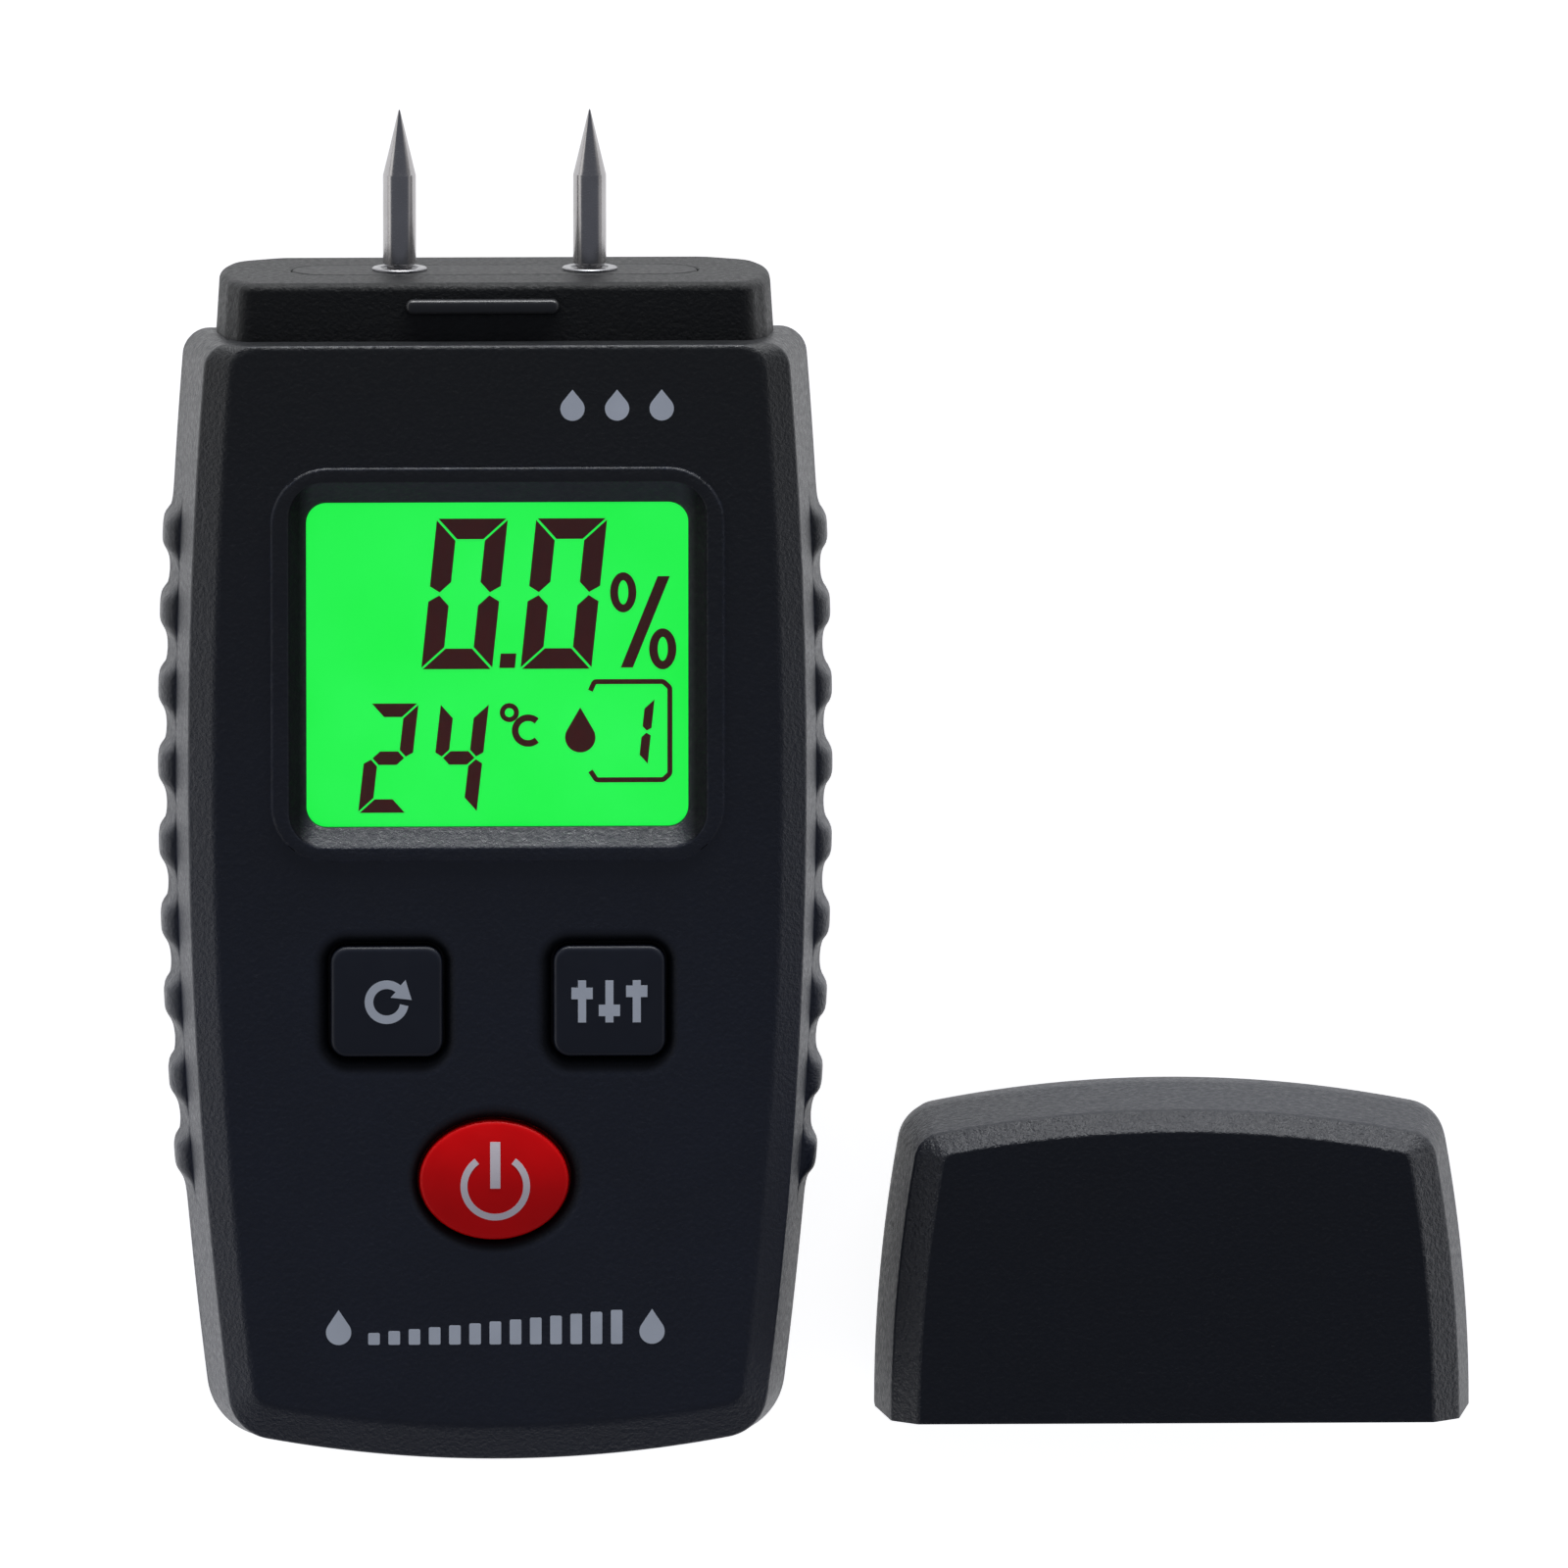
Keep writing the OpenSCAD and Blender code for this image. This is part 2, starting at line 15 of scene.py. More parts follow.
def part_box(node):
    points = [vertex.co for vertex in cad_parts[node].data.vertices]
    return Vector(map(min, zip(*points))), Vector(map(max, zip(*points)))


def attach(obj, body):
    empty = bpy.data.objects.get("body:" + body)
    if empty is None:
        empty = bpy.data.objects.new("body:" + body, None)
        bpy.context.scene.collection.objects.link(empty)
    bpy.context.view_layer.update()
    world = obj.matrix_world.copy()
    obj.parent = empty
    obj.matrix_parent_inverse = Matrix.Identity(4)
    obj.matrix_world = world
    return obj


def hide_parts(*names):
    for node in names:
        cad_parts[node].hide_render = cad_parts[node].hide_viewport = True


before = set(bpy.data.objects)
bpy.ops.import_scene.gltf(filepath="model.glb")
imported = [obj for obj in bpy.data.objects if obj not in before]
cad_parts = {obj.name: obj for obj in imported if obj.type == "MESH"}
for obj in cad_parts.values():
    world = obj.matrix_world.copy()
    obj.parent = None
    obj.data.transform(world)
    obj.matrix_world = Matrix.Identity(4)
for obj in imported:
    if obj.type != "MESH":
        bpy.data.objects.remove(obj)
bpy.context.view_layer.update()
MM = 0.001


def node_box(name):
    """A CAD node's lowest and highest corners, in millimetres."""
    return [Vector(corner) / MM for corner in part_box(name)]


# -------- sizes, in millimetres

# Housing
FOOT_Y, SHOULDER_Y = -56.5, 56.5
HALF_W, WIDEST_Y = 32.5, 13.5
SIDE_R, FOOT_R = 500.0, 126.0
FOOT_CORNER, TOP_CORNER = 6.6, 2.6
PART_Z, FACE_Z, CEILING_Z = 14.0, 27.0, 24.8
WALL = 2.0
PART_LINE_INSET, SHOULDER_ROUND = 0.22, 0.55
BEVEL_START = (1.95, 25.25)
BEVEL_END = (4.55, FACE_Z)
FOOT_DRAFT, FOOT_BEVEL_MORE = 0.8, 0.5

# Grip ridges
RIDGES, RIDGE_PITCH, RIDGE_MID_Y = 9, 7.8, 5.3
RIDGE_HALF, RIDGE_RISE, RIDGE_DRAFT_SHARE = 1.95, 0.9, 0.72
RIDGE_FRONT, RIDGE_BACK, RIDGE_END = 18.7, 8.2, 2.4

# Display
LCD_Y, LCD_W, LCD_H = 24.7, 37.8, 32.8
LCD_TOP_Z = 24.1
BEZEL_W, BEZEL_H, BEZEL_R, BEZEL_RISE = 44.6, 39.1, 5.6, 0.25
BAND_W, BAND_H, LENS_Z = 3.4, 3.5, 25.25

# Keys
KEY_X, KEY_Y, KEY_W = 11.0, -8.9, 11.0
POWER_X, POWER_Y, POWER_W, POWER_H = -0.4, -26.8, 14.8, 11.9
KEY_TOP_Z, FLANGE_Z, FLANGE_T = 27.3, 23.7, 0.8

# Head and pins
HEAD_W, HEAD_T, HEAD_MID_Z = 27.7, 10.8, 13.4
HEAD_TOP = node_box("head_block")[1].y
PIN_X, PIN_R = 9.4, 1.65
PIN_ROOT_Y, PIN_TIP_Y = node_box("pin_collars")[1].y, node_box("left_pin")[1].y
PLATE_HALF, PLATE_R = 16.45, 3.55

# Cap, in its own frame: x from its middle line, y from its rim
CAP_LOW, CAP_HIGH = node_box("protective_cap")
CAP_AT = ((CAP_LOW.x + CAP_HIGH.x) / 2, CAP_LOW.y)
CAP_W, CAP_H, CAP_T = (CAP_HIGH.x - CAP_LOW.x) / 2, CAP_HIGH.y - CAP_LOW.y, CAP_HIGH.z
CROWN_R, CAP_SIDE_R, CAP_CORNER, CAP_BEVEL_START = 122.0, 150.0, 4.2, 1.35

# Battery bay and door
CELL_X, CELL_Z, CELL_R = 10.8, 7.75, 5.2
BAY_W, BAY_Y, BAY_TOP = 16.6, (-52.0, -2.7), 13.1
DOOR_Y, DOOR_W, TONGUE_W, GRIP_Y = -2.3, 16.4, 17.3, -14.0
CASE_SCREWS = [(24.5, 47.2), (-24.5, 47.2), (21.6, -46.0), (-21.6, -46.0)]

# -------- camera

LENS_MM, VIEW_WIDTH = 900.0, 155.3
CAMERA_TILT, CAMERA_SWING = math.radians(8.3), math.radians(-1.5)
AIM = Vector((28.6, 10.8, 14.0))


def make_camera():
    data = bpy.data.cameras.new("camera")
    data.lens = LENS_MM
    data.sensor_width = 36.0
    data.clip_start, data.clip_end = 0.05, 20.0
    camera = bpy.data.objects.new("camera", data)
    bpy.context.scene.collection.objects.link(camera)
    back = Vector((math.sin(CAMERA_SWING), math.sin(CAMERA_TILT), math.cos(CAMERA_TILT))).normalized()
    up = (Vector((0, 1, 0)) - back * back.y).normalized()
    right = up.cross(back)
    camera.matrix_world = matrix_from(right, up, back, (AIM + back * VIEW_WIDTH * LENS_MM / 36.0) * MM)
    bpy.context.scene.camera = camera


def matrix_from(x_axis, y_axis, z_axis, place):
    rotation = Matrix((x_axis, y_axis, z_axis)).transposed().to_4x4()
    return Matrix.Translation(place) @ rotation


make_camera()

# -------- outlines


def arc(cx, cy, r, start, end, count):
    """count + 1 points on an arc, its angles in degrees."""
    angles = [math.radians(start + (end - start) * i / count) for i in range(count + 1)]
    return [(cx + r * math.cos(a), cy + r * math.sin(a)) for a in angles]


def rounded(w, h, r, cx, cy, count=10):
    """A rounded rectangle, anticlockwise."""
    points = []
    for turn, (sx, sy) in enumerate([(1, 1), (-1, 1), (-1, -1), (1, -1)]):
        points += arc(cx + sx * (w / 2 - r), cy + sy * (h / 2 - r), r, turn * 90, turn * 90 + 90, count)
    return points


def oval(w, h, cx=0.0, cy=0.0, count=96):
    angles = [2 * math.pi * i / count for i in range(count)]
    return [(cx + w / 2 * math.cos(a), cy + h / 2 * math.sin(a)) for a in angles]


def circle(r, count):
    return oval(2 * r, 2 * r, count=count)


def fillet_path(points, radii, count=7):
    """An open path with its inner corners rounded to the radii."""
    path = [points[0]]
    for before, corner, after, r in zip(points, points[1:], points[2:], radii):
        c = Vector(corner)
        u, v = (Vector(before) - c).normalized(), (Vector(after) - c).normalized()
        half = math.acos(max(-1, min(1, u.dot(v)))) / 2
        reach = r / math.tan(half)
        middle = c + (u + v).normalized() * r / math.sin(half)
        a, b = c + u * reach - middle, c + v * reach - middle
        for i in range(count + 1):
            t = i / count
            d = (a * (1 - t) + b * t).normalized() * r
            path.append(tuple(middle + d))
    path.append(points[-1])
    return path


def meet(c1, r1, c2, r2):
    """The lower right point where two circles cross."""
    c1, c2 = Vector(c1), Vector(c2)
    d = (c2 - c1).length
    u = (c2 - c1) / d
    a = (r1 * r1 - r2 * r2 + d * d) / (2 * d)
    h = math.sqrt(r1 * r1 - a * a)
    return c1 + u * a + Vector((u.y, -u.x)) * h


def heading(v):
    return math.degrees(math.atan2(v[1], v[0]))


SIDE_C = Vector((HALF_W - SIDE_R, WIDEST_Y))
FOOT_C = Vector((0, FOOT_Y + FOOT_R))

# Steps along the outline's foot, foot corner, side, shoulder corner and half shoulder
FINE_STEPS = (30, 14, 300, 9, 12)
COARSE_STEPS = (12, 6, 16, 4, 4)


def housing_outline(inset, top_inset, fine=True, foot_inset=None):
    """The housing's plan, pulled in at its sides by inset, at its shoulder by top_inset and at its foot
    by foot_inset, which is the same as inset unless given.
    Each point is (x, y, side), where side is 1 or -1 on the bowed long sides and 0 elsewhere."""
    foot_inset = inset if foot_inset is None else foot_inset
    foot, corner, side, top, line = FINE_STEPS if fine else COARSE_STEPS
    top_y = SHOULDER_Y - top_inset - TOP_CORNER
    rise = top_y - SIDE_C.y
    top_x = SIDE_C.x + math.sqrt((SIDE_R - inset - TOP_CORNER) ** 2 - rise ** 2)
    corner_r = max(FOOT_CORNER - inset, 0.4)
    corner_c = meet(SIDE_C, SIDE_R - inset - corner_r, FOOT_C, FOOT_R - foot_inset - corner_r)
    foot_turn, side_turn = heading(corner_c - FOOT_C), heading(corner_c - SIDE_C)
    top_turn = heading(Vector((top_x, top_y)) - SIDE_C)
    right = [(x, y, 0) for x, y in arc(FOOT_C.x, FOOT_C.y, FOOT_R - foot_inset, -90, foot_turn, foot)]
    foot_corner = arc(corner_c.x, corner_c.y, corner_r, foot_turn, side_turn, corner)
    right += [(x, y, 0) for x, y in foot_corner[1:-1]]
    right += [(x, y, 1) for x, y in arc(SIDE_C.x, SIDE_C.y, SIDE_R - inset, side_turn, top_turn, side)]
    right += [(x, y, 0) for x, y in arc(top_x, top_y, TOP_CORNER, top_turn, 90, top)[1:]]
    end = right[-1][0]
    right += [(end * (1 - i / line), right[-1][1], 0) for i in range(1, line)]
    right.append((0.0, right[-1][1], 0))
    left = [(-x, y, -side) for x, y, side in reversed(right[1:-1])]
    return right + left


def ridge_shape(y):
    """About 0 in the valleys between the grip ridges, 1 on their tops."""
    steps = (y - RIDGE_MID_Y) / RIDGE_PITCH + (RIDGES - 1) / 2
    nearest = min(max(round(steps), 0), RIDGES - 1)
    away = abs(steps - nearest) * RIDGE_PITCH
    return 1 / (1 + (away / RIDGE_HALF) ** 5)


def ridge_end(z):
    """How far the grip ridges stand out at a height: both their ends are rounded over."""
    past = z - (RIDGE_FRONT - RIDGE_END) if z >= PART_Z else RIDGE_BACK + RIDGE_END - z
    t = min(max(past / RIDGE_END, 0.0), 1.0)
    return math.sqrt(1 - t * t)


def foot_wall_inset(z, inset):
    """The foot's wall is steeper than the sides' and its bevel runs further in, so it is shallower."""
    if z <= PART_Z:
        return inset
    t = max((z - BEVEL_START[1]) / (FACE_Z - BEVEL_START[1]), 0.0)
    steeper = inset * FOOT_DRAFT
    return steeper + (BEVEL_END[0] * (1 - FOOT_DRAFT) + FOOT_BEVEL_MORE) * t


def housing_ring(z, inset, top_inset):
    """The outline at a height, with the grip ridges standing out of its sides."""
    rise = ridge_end(z) * (RIDGE_RISE + inset * RIDGE_DRAFT_SHARE)
    outline = housing_outline(inset, top_inset, foot_inset=foot_wall_inset(z, inset))
    return [(x + side * rise * ridge_shape(y), y, z) for x, y, side in outline]


def flat(points, z):
    return [(p[0], p[1], z) for p in points]


# -------- meshes


class Shape:
    """Vertices and faces being put together, in millimetres, with a material index for each face."""

    def __init__(self):
        self.verts, self.faces, self.slots = [], [], []

    def ring(self, points):
        start = len(self.verts)
        self.verts += [tuple(p) for p in points]
        return list(range(start, start + len(points)))

    def add(self, faces, slot=0):
        self.faces += faces
        self.slots += [slot] * len(faces)

    def bridge(self, a, b, closed=True, slot=0):
        count = len(a)
        last = count if closed else count - 1
        self.add([(a[i], a[(i + 1) % count], b[(i + 1) % count], b[i]) for i in range(last)], slot)

    def loft(self, rings, slots=(0,)):
        """Joins rings of points in turn and returns their indices. The last slot serves all the
        steps that are left over."""
        made = [self.ring(r) for r in rings]
        for i, (a, b) in enumerate(zip(made, made[1:])):
            self.bridge(a, b, slot=slots[min(i, len(slots) - 1)])
        return made

    def fill(self, *loops, slot=0):
        """Fills a flat region: its outer loop, then its holes."""
        flat_loops = [[Vector(self.verts[i]) for i in loop] for loop in loops]
        index = [i for loop in loops for i in loop]
        self.add([tuple(index[i] for i in t) for t in tessellate_polygon(flat_loops)], slot)

    def solid(self, rings, slots=(0,)):
        """A closed loft with flat ends."""
        made = self.loft(rings, slots)
        self.fill(made[0], slot=slots[0])
        self.fill(made[-1], slot=slots[-1])

    def prism(self, outline, z0, z1):
        self.solid([flat(outline, z0), flat(outline, z1)])

    def plate(self, loops, z0, z1):
        """A flat plate: its outline, then any holes through it."""
        low = [self.ring(flat(loop, z0)) for loop in loops]
        high = [self.ring(flat(loop, z1)) for loop in loops]
        for a, b in zip(low, high):
            self.bridge(a, b)
        self.fill(*low)
        self.fill(*high)

    def lathe(self, profile, place, axis="y", count=48, slots=(0,)):
        """Turns (radius, along) pairs about an axis through place."""
        rings = []
        for r, along in profile:
            ring = []
            for x, y in circle(max(r, 0.004), count):
                p = {"y": (x, along, y), "z": (x, y, along)}[axis]
                ring.append(tuple(a + b for a, b in zip(p, place)))
            rings.append(ring)
        self.solid(rings, slots)

    def tube(self, path, r, sides=12, slots=(0,)):
        """A round wire along a path."""
        rings = []
        for i, p in enumerate(path):
            ahead = Vector(path[min(i + 1, len(path) - 1)]) - Vector(path[max(i - 1, 0)])
            u = ahead.normalized()
            e = u.cross(Vector((0, 1, 0)))
            e = e.normalized() if e.length > 0.01 else Vector((1, 0, 0))
            f = u.cross(e)
            turns = [2 * math.pi * k / sides for k in range(sides)]
            rings.append([tuple(Vector(p) + (e * math.cos(a) + f * math.sin(a)) * r) for a in turns])
        self.solid(rings, slots)

    def mesh(self, name, scale=1.0):
        mesh = bpy.data.meshes.new(name)
        mesh.from_pydata([tuple(c * scale for c in v) for v in self.verts], [], self.faces)
        mesh.polygons.foreach_set("material_index", self.slots)
        work = bmesh.new()
        work.from_mesh(mesh)
        bmesh.ops.remove_doubles(work, verts=work.verts, dist=1e-5 * scale)
        bmesh.ops.dissolve_degenerate(work, edges=work.edges, dist=1e-6 * scale)
        bmesh.ops.recalc_face_normals(work, faces=work.faces)
        work.to_mesh(mesh)
        work.free()
        return mesh


def link(name, mesh):
    obj = bpy.data.objects.new(name, mesh)
    bpy.context.scene.collection.objects.link(obj)
    return obj


def finish_piece(obj, body, materials, replaces=(), slot=None, sharp=32.0, weighted=False):
    """Shades a piece, gives it its materials and makes it ride on its body."""
    mesh = obj.data
    mesh.polygons.foreach_set("use_smooth", [True] * len(mesh.polygons))
    mesh.set_sharp_from_angle(angle=math.radians(sharp))
    for mat in materials:
        mesh.materials.append(mat)
    if weighted:
        normals = obj.modifiers.new("weighted normals", "WEIGHTED_NORMAL")
        normals.keep_sharp = True
        normals.weight = 60
    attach(obj, body)
    if replaces:
        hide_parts(*replaces)


def piece(name, shape, body, *materials, **options):
    finish_piece(link(name, shape.mesh(name, MM)), body, materials, **options)


def boolean(target, cutters, operation="DIFFERENCE"):
    """Cuts a work object with others, all in millimetres, and drops the others."""
    for cutter in cutters:
        step = target.modifiers.new("cut", "BOOLEAN")
        step.operation = operation
        step.solver = "EXACT"
        step.object = cutter
    graph = bpy.context.evaluated_depsgraph_get()
    made = bpy.data.meshes.new_from_object(target.evaluated_get(graph))
    target.modifiers.clear()
    target.data = made
    for cutter in cutters:
        bpy.data.objects.remove(cutter)
    return target


def work_object(shape):
    return link("work", shape.mesh("work"))


def into_metres(obj, name):
    """Names a work object that becomes a piece, and scales its mesh."""
    obj.name = name
    obj.data.transform(Matrix.Scale(MM, 4))


def box_shape(x0, x1, y0, y1, z0, z1):
    shape = Shape()
    corners = [(x0, y0), (x1, y0), (x1, y1), (x0, y1)]
    shape.prism(corners, z0, z1)
    return shape


# -------- materials


def srgb(r, g, b):
    """A display colour as linear light."""
    values = []
    for c in (r, g, b):
        c = c / 255
        values.append(c / 12.92 if c <= 0.04045 else ((c + 0.055) / 1.055) ** 2.4)
    return (*values, 1.0)


class Paint:
    """A procedural material being wired up."""

    def __init__(self, name, colour, roughness, metallic=0.0, **sockets):
        self.mat = bpy.data.materials.new(name)
        self.mat.use_nodes = True
        self.nodes, self.links = self.mat.node_tree.nodes, self.mat.node_tree.links
        self.shader = self.nodes["Principled BSDF"]
        self.colour, self.roughness, self.surface = colour, roughness, None
        constants = {"Base_Color": colour, "Roughness": roughness, "Metallic": metallic, **sockets}
        for key, value in constants.items():
            self.feed(key, value)
        self.place = self.nodes.new("ShaderNodeTexCoord").outputs["Object"]

    def feed(self, socket, value):
        """Sets a socket, or one of the shader's by its name, to a value or links it to another one."""
        if isinstance(socket, str):
            socket = self.shader.inputs[socket.replace("_", " ")]
        if isinstance(value, bpy.types.NodeSocket):
            self.links.new(value, socket)
        else:
            socket.default_value = value

    def node(self, kind, settings=(), **inputs):
        node = self.nodes.new("ShaderNode" + kind)
        for key, value in settings:
            setattr(node, key, value)
        for key, value in inputs.items():
            self.feed(node.inputs[key.replace("_", " ")], value)
        return node

    def math(self, kind, operation, *values):
        node = self.node(kind, [("operation", operation)])
        for socket, value in zip(node.inputs, values):
            self.feed(socket, value)
        return node.outputs["Value"]

    def noise(self, size_mm, detail=2.0, stretch=(1, 1, 1), rough=0.5):
        """Noise whose blobs are about size_mm across."""
        mapping = self.node("Mapping", Vector=self.place, Scale=stretch)
        texture = self.node("TexNoise", Vector=mapping.outputs["Vector"], Scale=1.0 / (size_mm * MM),
                            Detail=detail, Roughness=rough)
        return texture.outputs["Fac"]

    def along(self, axis):
        """A coordinate of the surface, in metres."""
        return self.node("SeparateXYZ", Vector=self.place).outputs[axis]

    def remap(self, value, low, high, start=0.3, stop=0.7):
        node = self.node("MapRange", Value=value, From_Min=start, From_Max=stop, To_Min=low, To_Max=high)
        return node.outputs["Result"]

    def mix(self, factor, a, b):
        node = self.node("Mix", [("data_type", "RGBA")])
        for i, value in ((0, factor), (6, a), (7, b)):
            self.feed(node.inputs[i], value)
        return node.outputs[2]

    def scaled(self, gain, lift=0.0):
        """The material's colour, brighter or darker."""
        return (*[c * gain + lift for c in self.colour[:3]], 1.0)

    def tone(self, size_mm, spread, **options):
        """Varies the colour by a share of itself."""
        factor = self.remap(self.noise(size_mm, **options), 0.0, 1.0)
        self.base = self.mix(factor, self.scaled(1 - spread), self.scaled(1 + spread))
        self.feed("Base_Color", self.base)
        return self

    def fade(self, colour, start_mm, stop_mm):
        """Turns the colour into another one along the meter, between two places on +Y."""
        share = self.remap(self.along("Y"), 0.0, 1.0, start_mm * MM, stop_mm * MM)
        self.base = self.mix(share, self.base, colour)
        return self

    def rough(self, size_mm, spread, **options):
        low, high = self.roughness - spread, min(self.roughness + spread, 1.0)
        self.feed("Roughness", self.remap(self.noise(size_mm, **options), low, high))
        return self

    def worn_and_highlit_edges(self, width_mm, gain, lift):
        """Lightens the colour along edges, broken up by noise: partly wear where handling has worn the
        grain, partly a painted highlight standing in for light catching the edges.
        """
        rounded_normal = self.node("Bevel", [("samples", 4)], Radius=width_mm * MM).outputs["Normal"]
        true_normal = self.node("NewGeometry").outputs["Normal"]
        alike = self.math("VectorMath", "DOT_PRODUCT", rounded_normal, true_normal)
        edge = self.remap(alike, 1.0, 0.0, 0.90, 0.995)
        broken = self.remap(self.noise(1.6, detail=4.0), 0.15, 1.0, 0.35, 0.65)
        share = self.math("Math", "MULTIPLY", edge, broken)
        self.feed("Base_Color", self.mix(share, self.base, self.scaled(gain, lift)))
        return self

    def bump(self, size_mm, height_mm, **options):
        """Adds a layer of surface texture."""
        height = self.noise(size_mm, **options)
        node = self.node("Bump", Strength=1.0, Distance=height_mm * MM, Height=height)
        if self.surface is not None:
            self.feed(node.inputs["Normal"], self.surface)
        self.surface = node.outputs["Normal"]
        self.feed("Normal", self.surface)
        return self


def grained_plastic(name, colour, roughness=0.44, grain=0.12, sheen=0.04, shine=0.5,
                    grain_size=0.42, edge_wear_highlight_lift=0.004, top=None):
    """Moulded plastic with a fine spark-eroded grain, and edges lightened partly by handling wear and partly
    as a painted highlight. Where top is given, the colour turns into it towards the shoulder."""
    paint = Paint(name, colour, roughness, IOR=1.5, Sheen_Weight=sheen, Sheen_Roughness=0.45,
                  Specular_IOR_Level=shine)
    paint.tone(9.0, 0.10, detail=4.0)
    if top:
        paint.fade(top, -10.0, 55.0)
    # Edges lightened partly by wear, partly as a painted highlight.
    paint.worn_and_highlit_edges(0.35, 1.9, edge_wear_highlight_lift).rough(0.55, 0.09, detail=3.0)
    paint.bump(grain_size, grain, detail=3.0, rough=0.65).bump(2.4, 0.008, detail=2.0)
    return paint.mat


def painted_shade_plastic(name, colour, axis, start_mm, stop_mm, shine=0.5):
    """The case's plastic with painted shade: turning dull and dark along an axis, deep in a moat round a key
    and towards the side slopes of the display's frame.
    """
    paint = Paint(name, colour, 0.48, IOR=1.5)
    paint.tone(9.0, 0.10, detail=4.0).rough(0.55, 0.09, detail=3.0)
    paint.bump(0.42, 0.08, detail=3.0, rough=0.65)
    away = paint.math("Math", "ABSOLUTE", paint.along(axis))
    start, stop = start_mm * MM, stop_mm * MM
    shade = paint.remap(away, 0.0, 1.0, start, stop)
    # Painted shade: the colour darkens towards srgb(11, 14, 20) and the specular level drops to 0.16 along
    # the axis.
    paint.feed("Base_Color", paint.mix(shade, paint.base, srgb(11, 14, 20)))
    paint.feed("Specular_IOR_Level", paint.remap(away, shine, 0.16, start, stop))
    return paint.mat


def smooth_plastic(name, colour, roughness, **sockets):
    paint = Paint(name, colour, roughness, **sockets)
    paint.tone(6.0, 0.06, detail=3.0).rough(1.4, 0.05, detail=3.0).bump(0.5, 0.004, detail=2.0)
    return paint.mat


def metal(name, colour, roughness, stretch=(1, 1, 1), size=0.5):
    paint = Paint(name, colour, roughness, metallic=1.0)
    paint.tone(3.0, 0.06, detail=3.0).rough(size, 0.08, detail=3.0, stretch=stretch)
    paint.bump(size, 0.002, detail=2.0, stretch=stretch)
    return paint.mat


CASE_BLUE = srgb(21, 27, 43)
CASE = grained_plastic("case_front", CASE_BLUE, top=srgb(14, 17, 21))
# Painted shade: the case plastic darkens and dulls with depth in the moats round the keys.
MOAT_SHADE = painted_shade_plastic("key_moat_shade", CASE_BLUE, "Z", FACE_Z - 0.01, FACE_Z - 0.28)
# Painted shade: the display frame's slopes darken and dull towards their left and right ends; the middle
# keeps a specular level of 0.75.
BEZEL_SIDE_SHADE = painted_shade_plastic("bezel_slope_shade", CASE_BLUE, "X", LCD_W / 2 - 0.7, LCD_W / 2 + 0.7, 0.75)
REAR = grained_plastic("case_rear", srgb(16, 19, 29), 0.47)
# The head's edges get a stronger lift of 0.045: more painted highlight along them.
HEAD = grained_plastic("head", srgb(10, 12, 14), 0.55, 0.13, 0.0, 0.31, edge_wear_highlight_lift=0.045)
RUBBED = smooth_plastic("rubbed_ridge", srgb(30, 31, 34), 0.3, Specular_IOR_Level=0.6)
INSERT = grained_plastic("pin_plate", srgb(11, 13, 15), 0.55, 0.03, 0.0, 0.35)
# The cap's edges get a stronger lift of 0.04: more painted highlight along them.
CAP = grained_plastic("cap", srgb(5, 12, 26), 0.48, 0.13, 0.0, 0.44, 0.4, 0.04)
CAP_BEVEL = grained_plastic("cap_bevel", srgb(8, 14, 27), 0.45, 0.3, 0.0, 0.6, 0.5, 0.04)
KEY = smooth_plastic("square_key", srgb(19, 25, 40), 0.45)
RED = smooth_plastic("power_key", srgb(252, 0, 7), 0.42, Specular_IOR_Level=0.22)
PRINT = smooth_plastic("print", srgb(224, 231, 242), 0.5)
RED_PRINT = smooth_plastic("key_print", srgb(252, 244, 250), 0.5)
STEEL = metal("pin_steel", (0.40, 0.39, 0.39, 1), 0.2, stretch=(1, 12, 1), size=0.35)
COLLAR = metal("collar_steel", (0.28, 0.28, 0.29, 1), 0.32)
PLATED = metal("plated_steel", (0.52, 0.53, 0.55, 1), 0.3)
BRASS = metal("brass", (0.62, 0.44, 0.17, 1), 0.3)
CAN = metal("crystal_can", (0.62, 0.63, 0.65, 1), 0.35)
RESIN = smooth_plastic("chip_resin", srgb(28, 28, 30), 0.6)
SLEEVE = smooth_plastic("capacitor_sleeve", srgb(44, 60, 120), 0.3)
IVORY = smooth_plastic("ivory_plastic", srgb(214, 209, 192), 0.45)
RUBBER = smooth_plastic("contact_rubber", srgb(178, 120, 116), 0.6)
LED = smooth_plastic("led_resin", srgb(236, 232, 180), 0.25)
DIFFUSER = smooth_plastic("diffuser", srgb(225, 240, 226), 0.35)
BOARD = smooth_plastic("solder_mask", srgb(30, 92, 48), 0.35)
CELL = smooth_plastic("cell_sleeve", srgb(38, 92, 58), 0.28)
CELL_BAND = smooth_plastic("cell_band", srgb(206, 170, 84), 0.3)


def lit_display():
    paint = Paint("lit_display", srgb(30, 190, 60), 0.5, Emission_Strength=1.0)
    patches = paint.remap(paint.noise(14.0, detail=2.0), 0.0, 1.0)
    paint.feed("Emission_Color", paint.mix(patches, srgb(12, 236, 66), srgb(30, 240, 80)))
    return paint.tone(10.0, 0.05).mat


def clear_window():
    paint = Paint("clear_window", (1, 1, 1, 1), 0.03, IOR=1.45, Transmission_Weight=1.0)
    paint.rough(3.0, 0.015, detail=2.0)
    return paint.mat


LCD = lit_display()
WINDOW = clear_window()
INK = smooth_plastic("display_segments", srgb(136, 32, 22), 0.5, Specular_IOR_Level=0.05)

# -------- case


def shoulder_inset(z):
    """How far the shoulder's front edge is rounded back at a height."""
    rise = max(z - (FACE_Z - SHOULDER_ROUND), 0.0)
    return SHOULDER_ROUND - math.sqrt(max(SHOULDER_ROUND ** 2 - rise ** 2, 0.0))


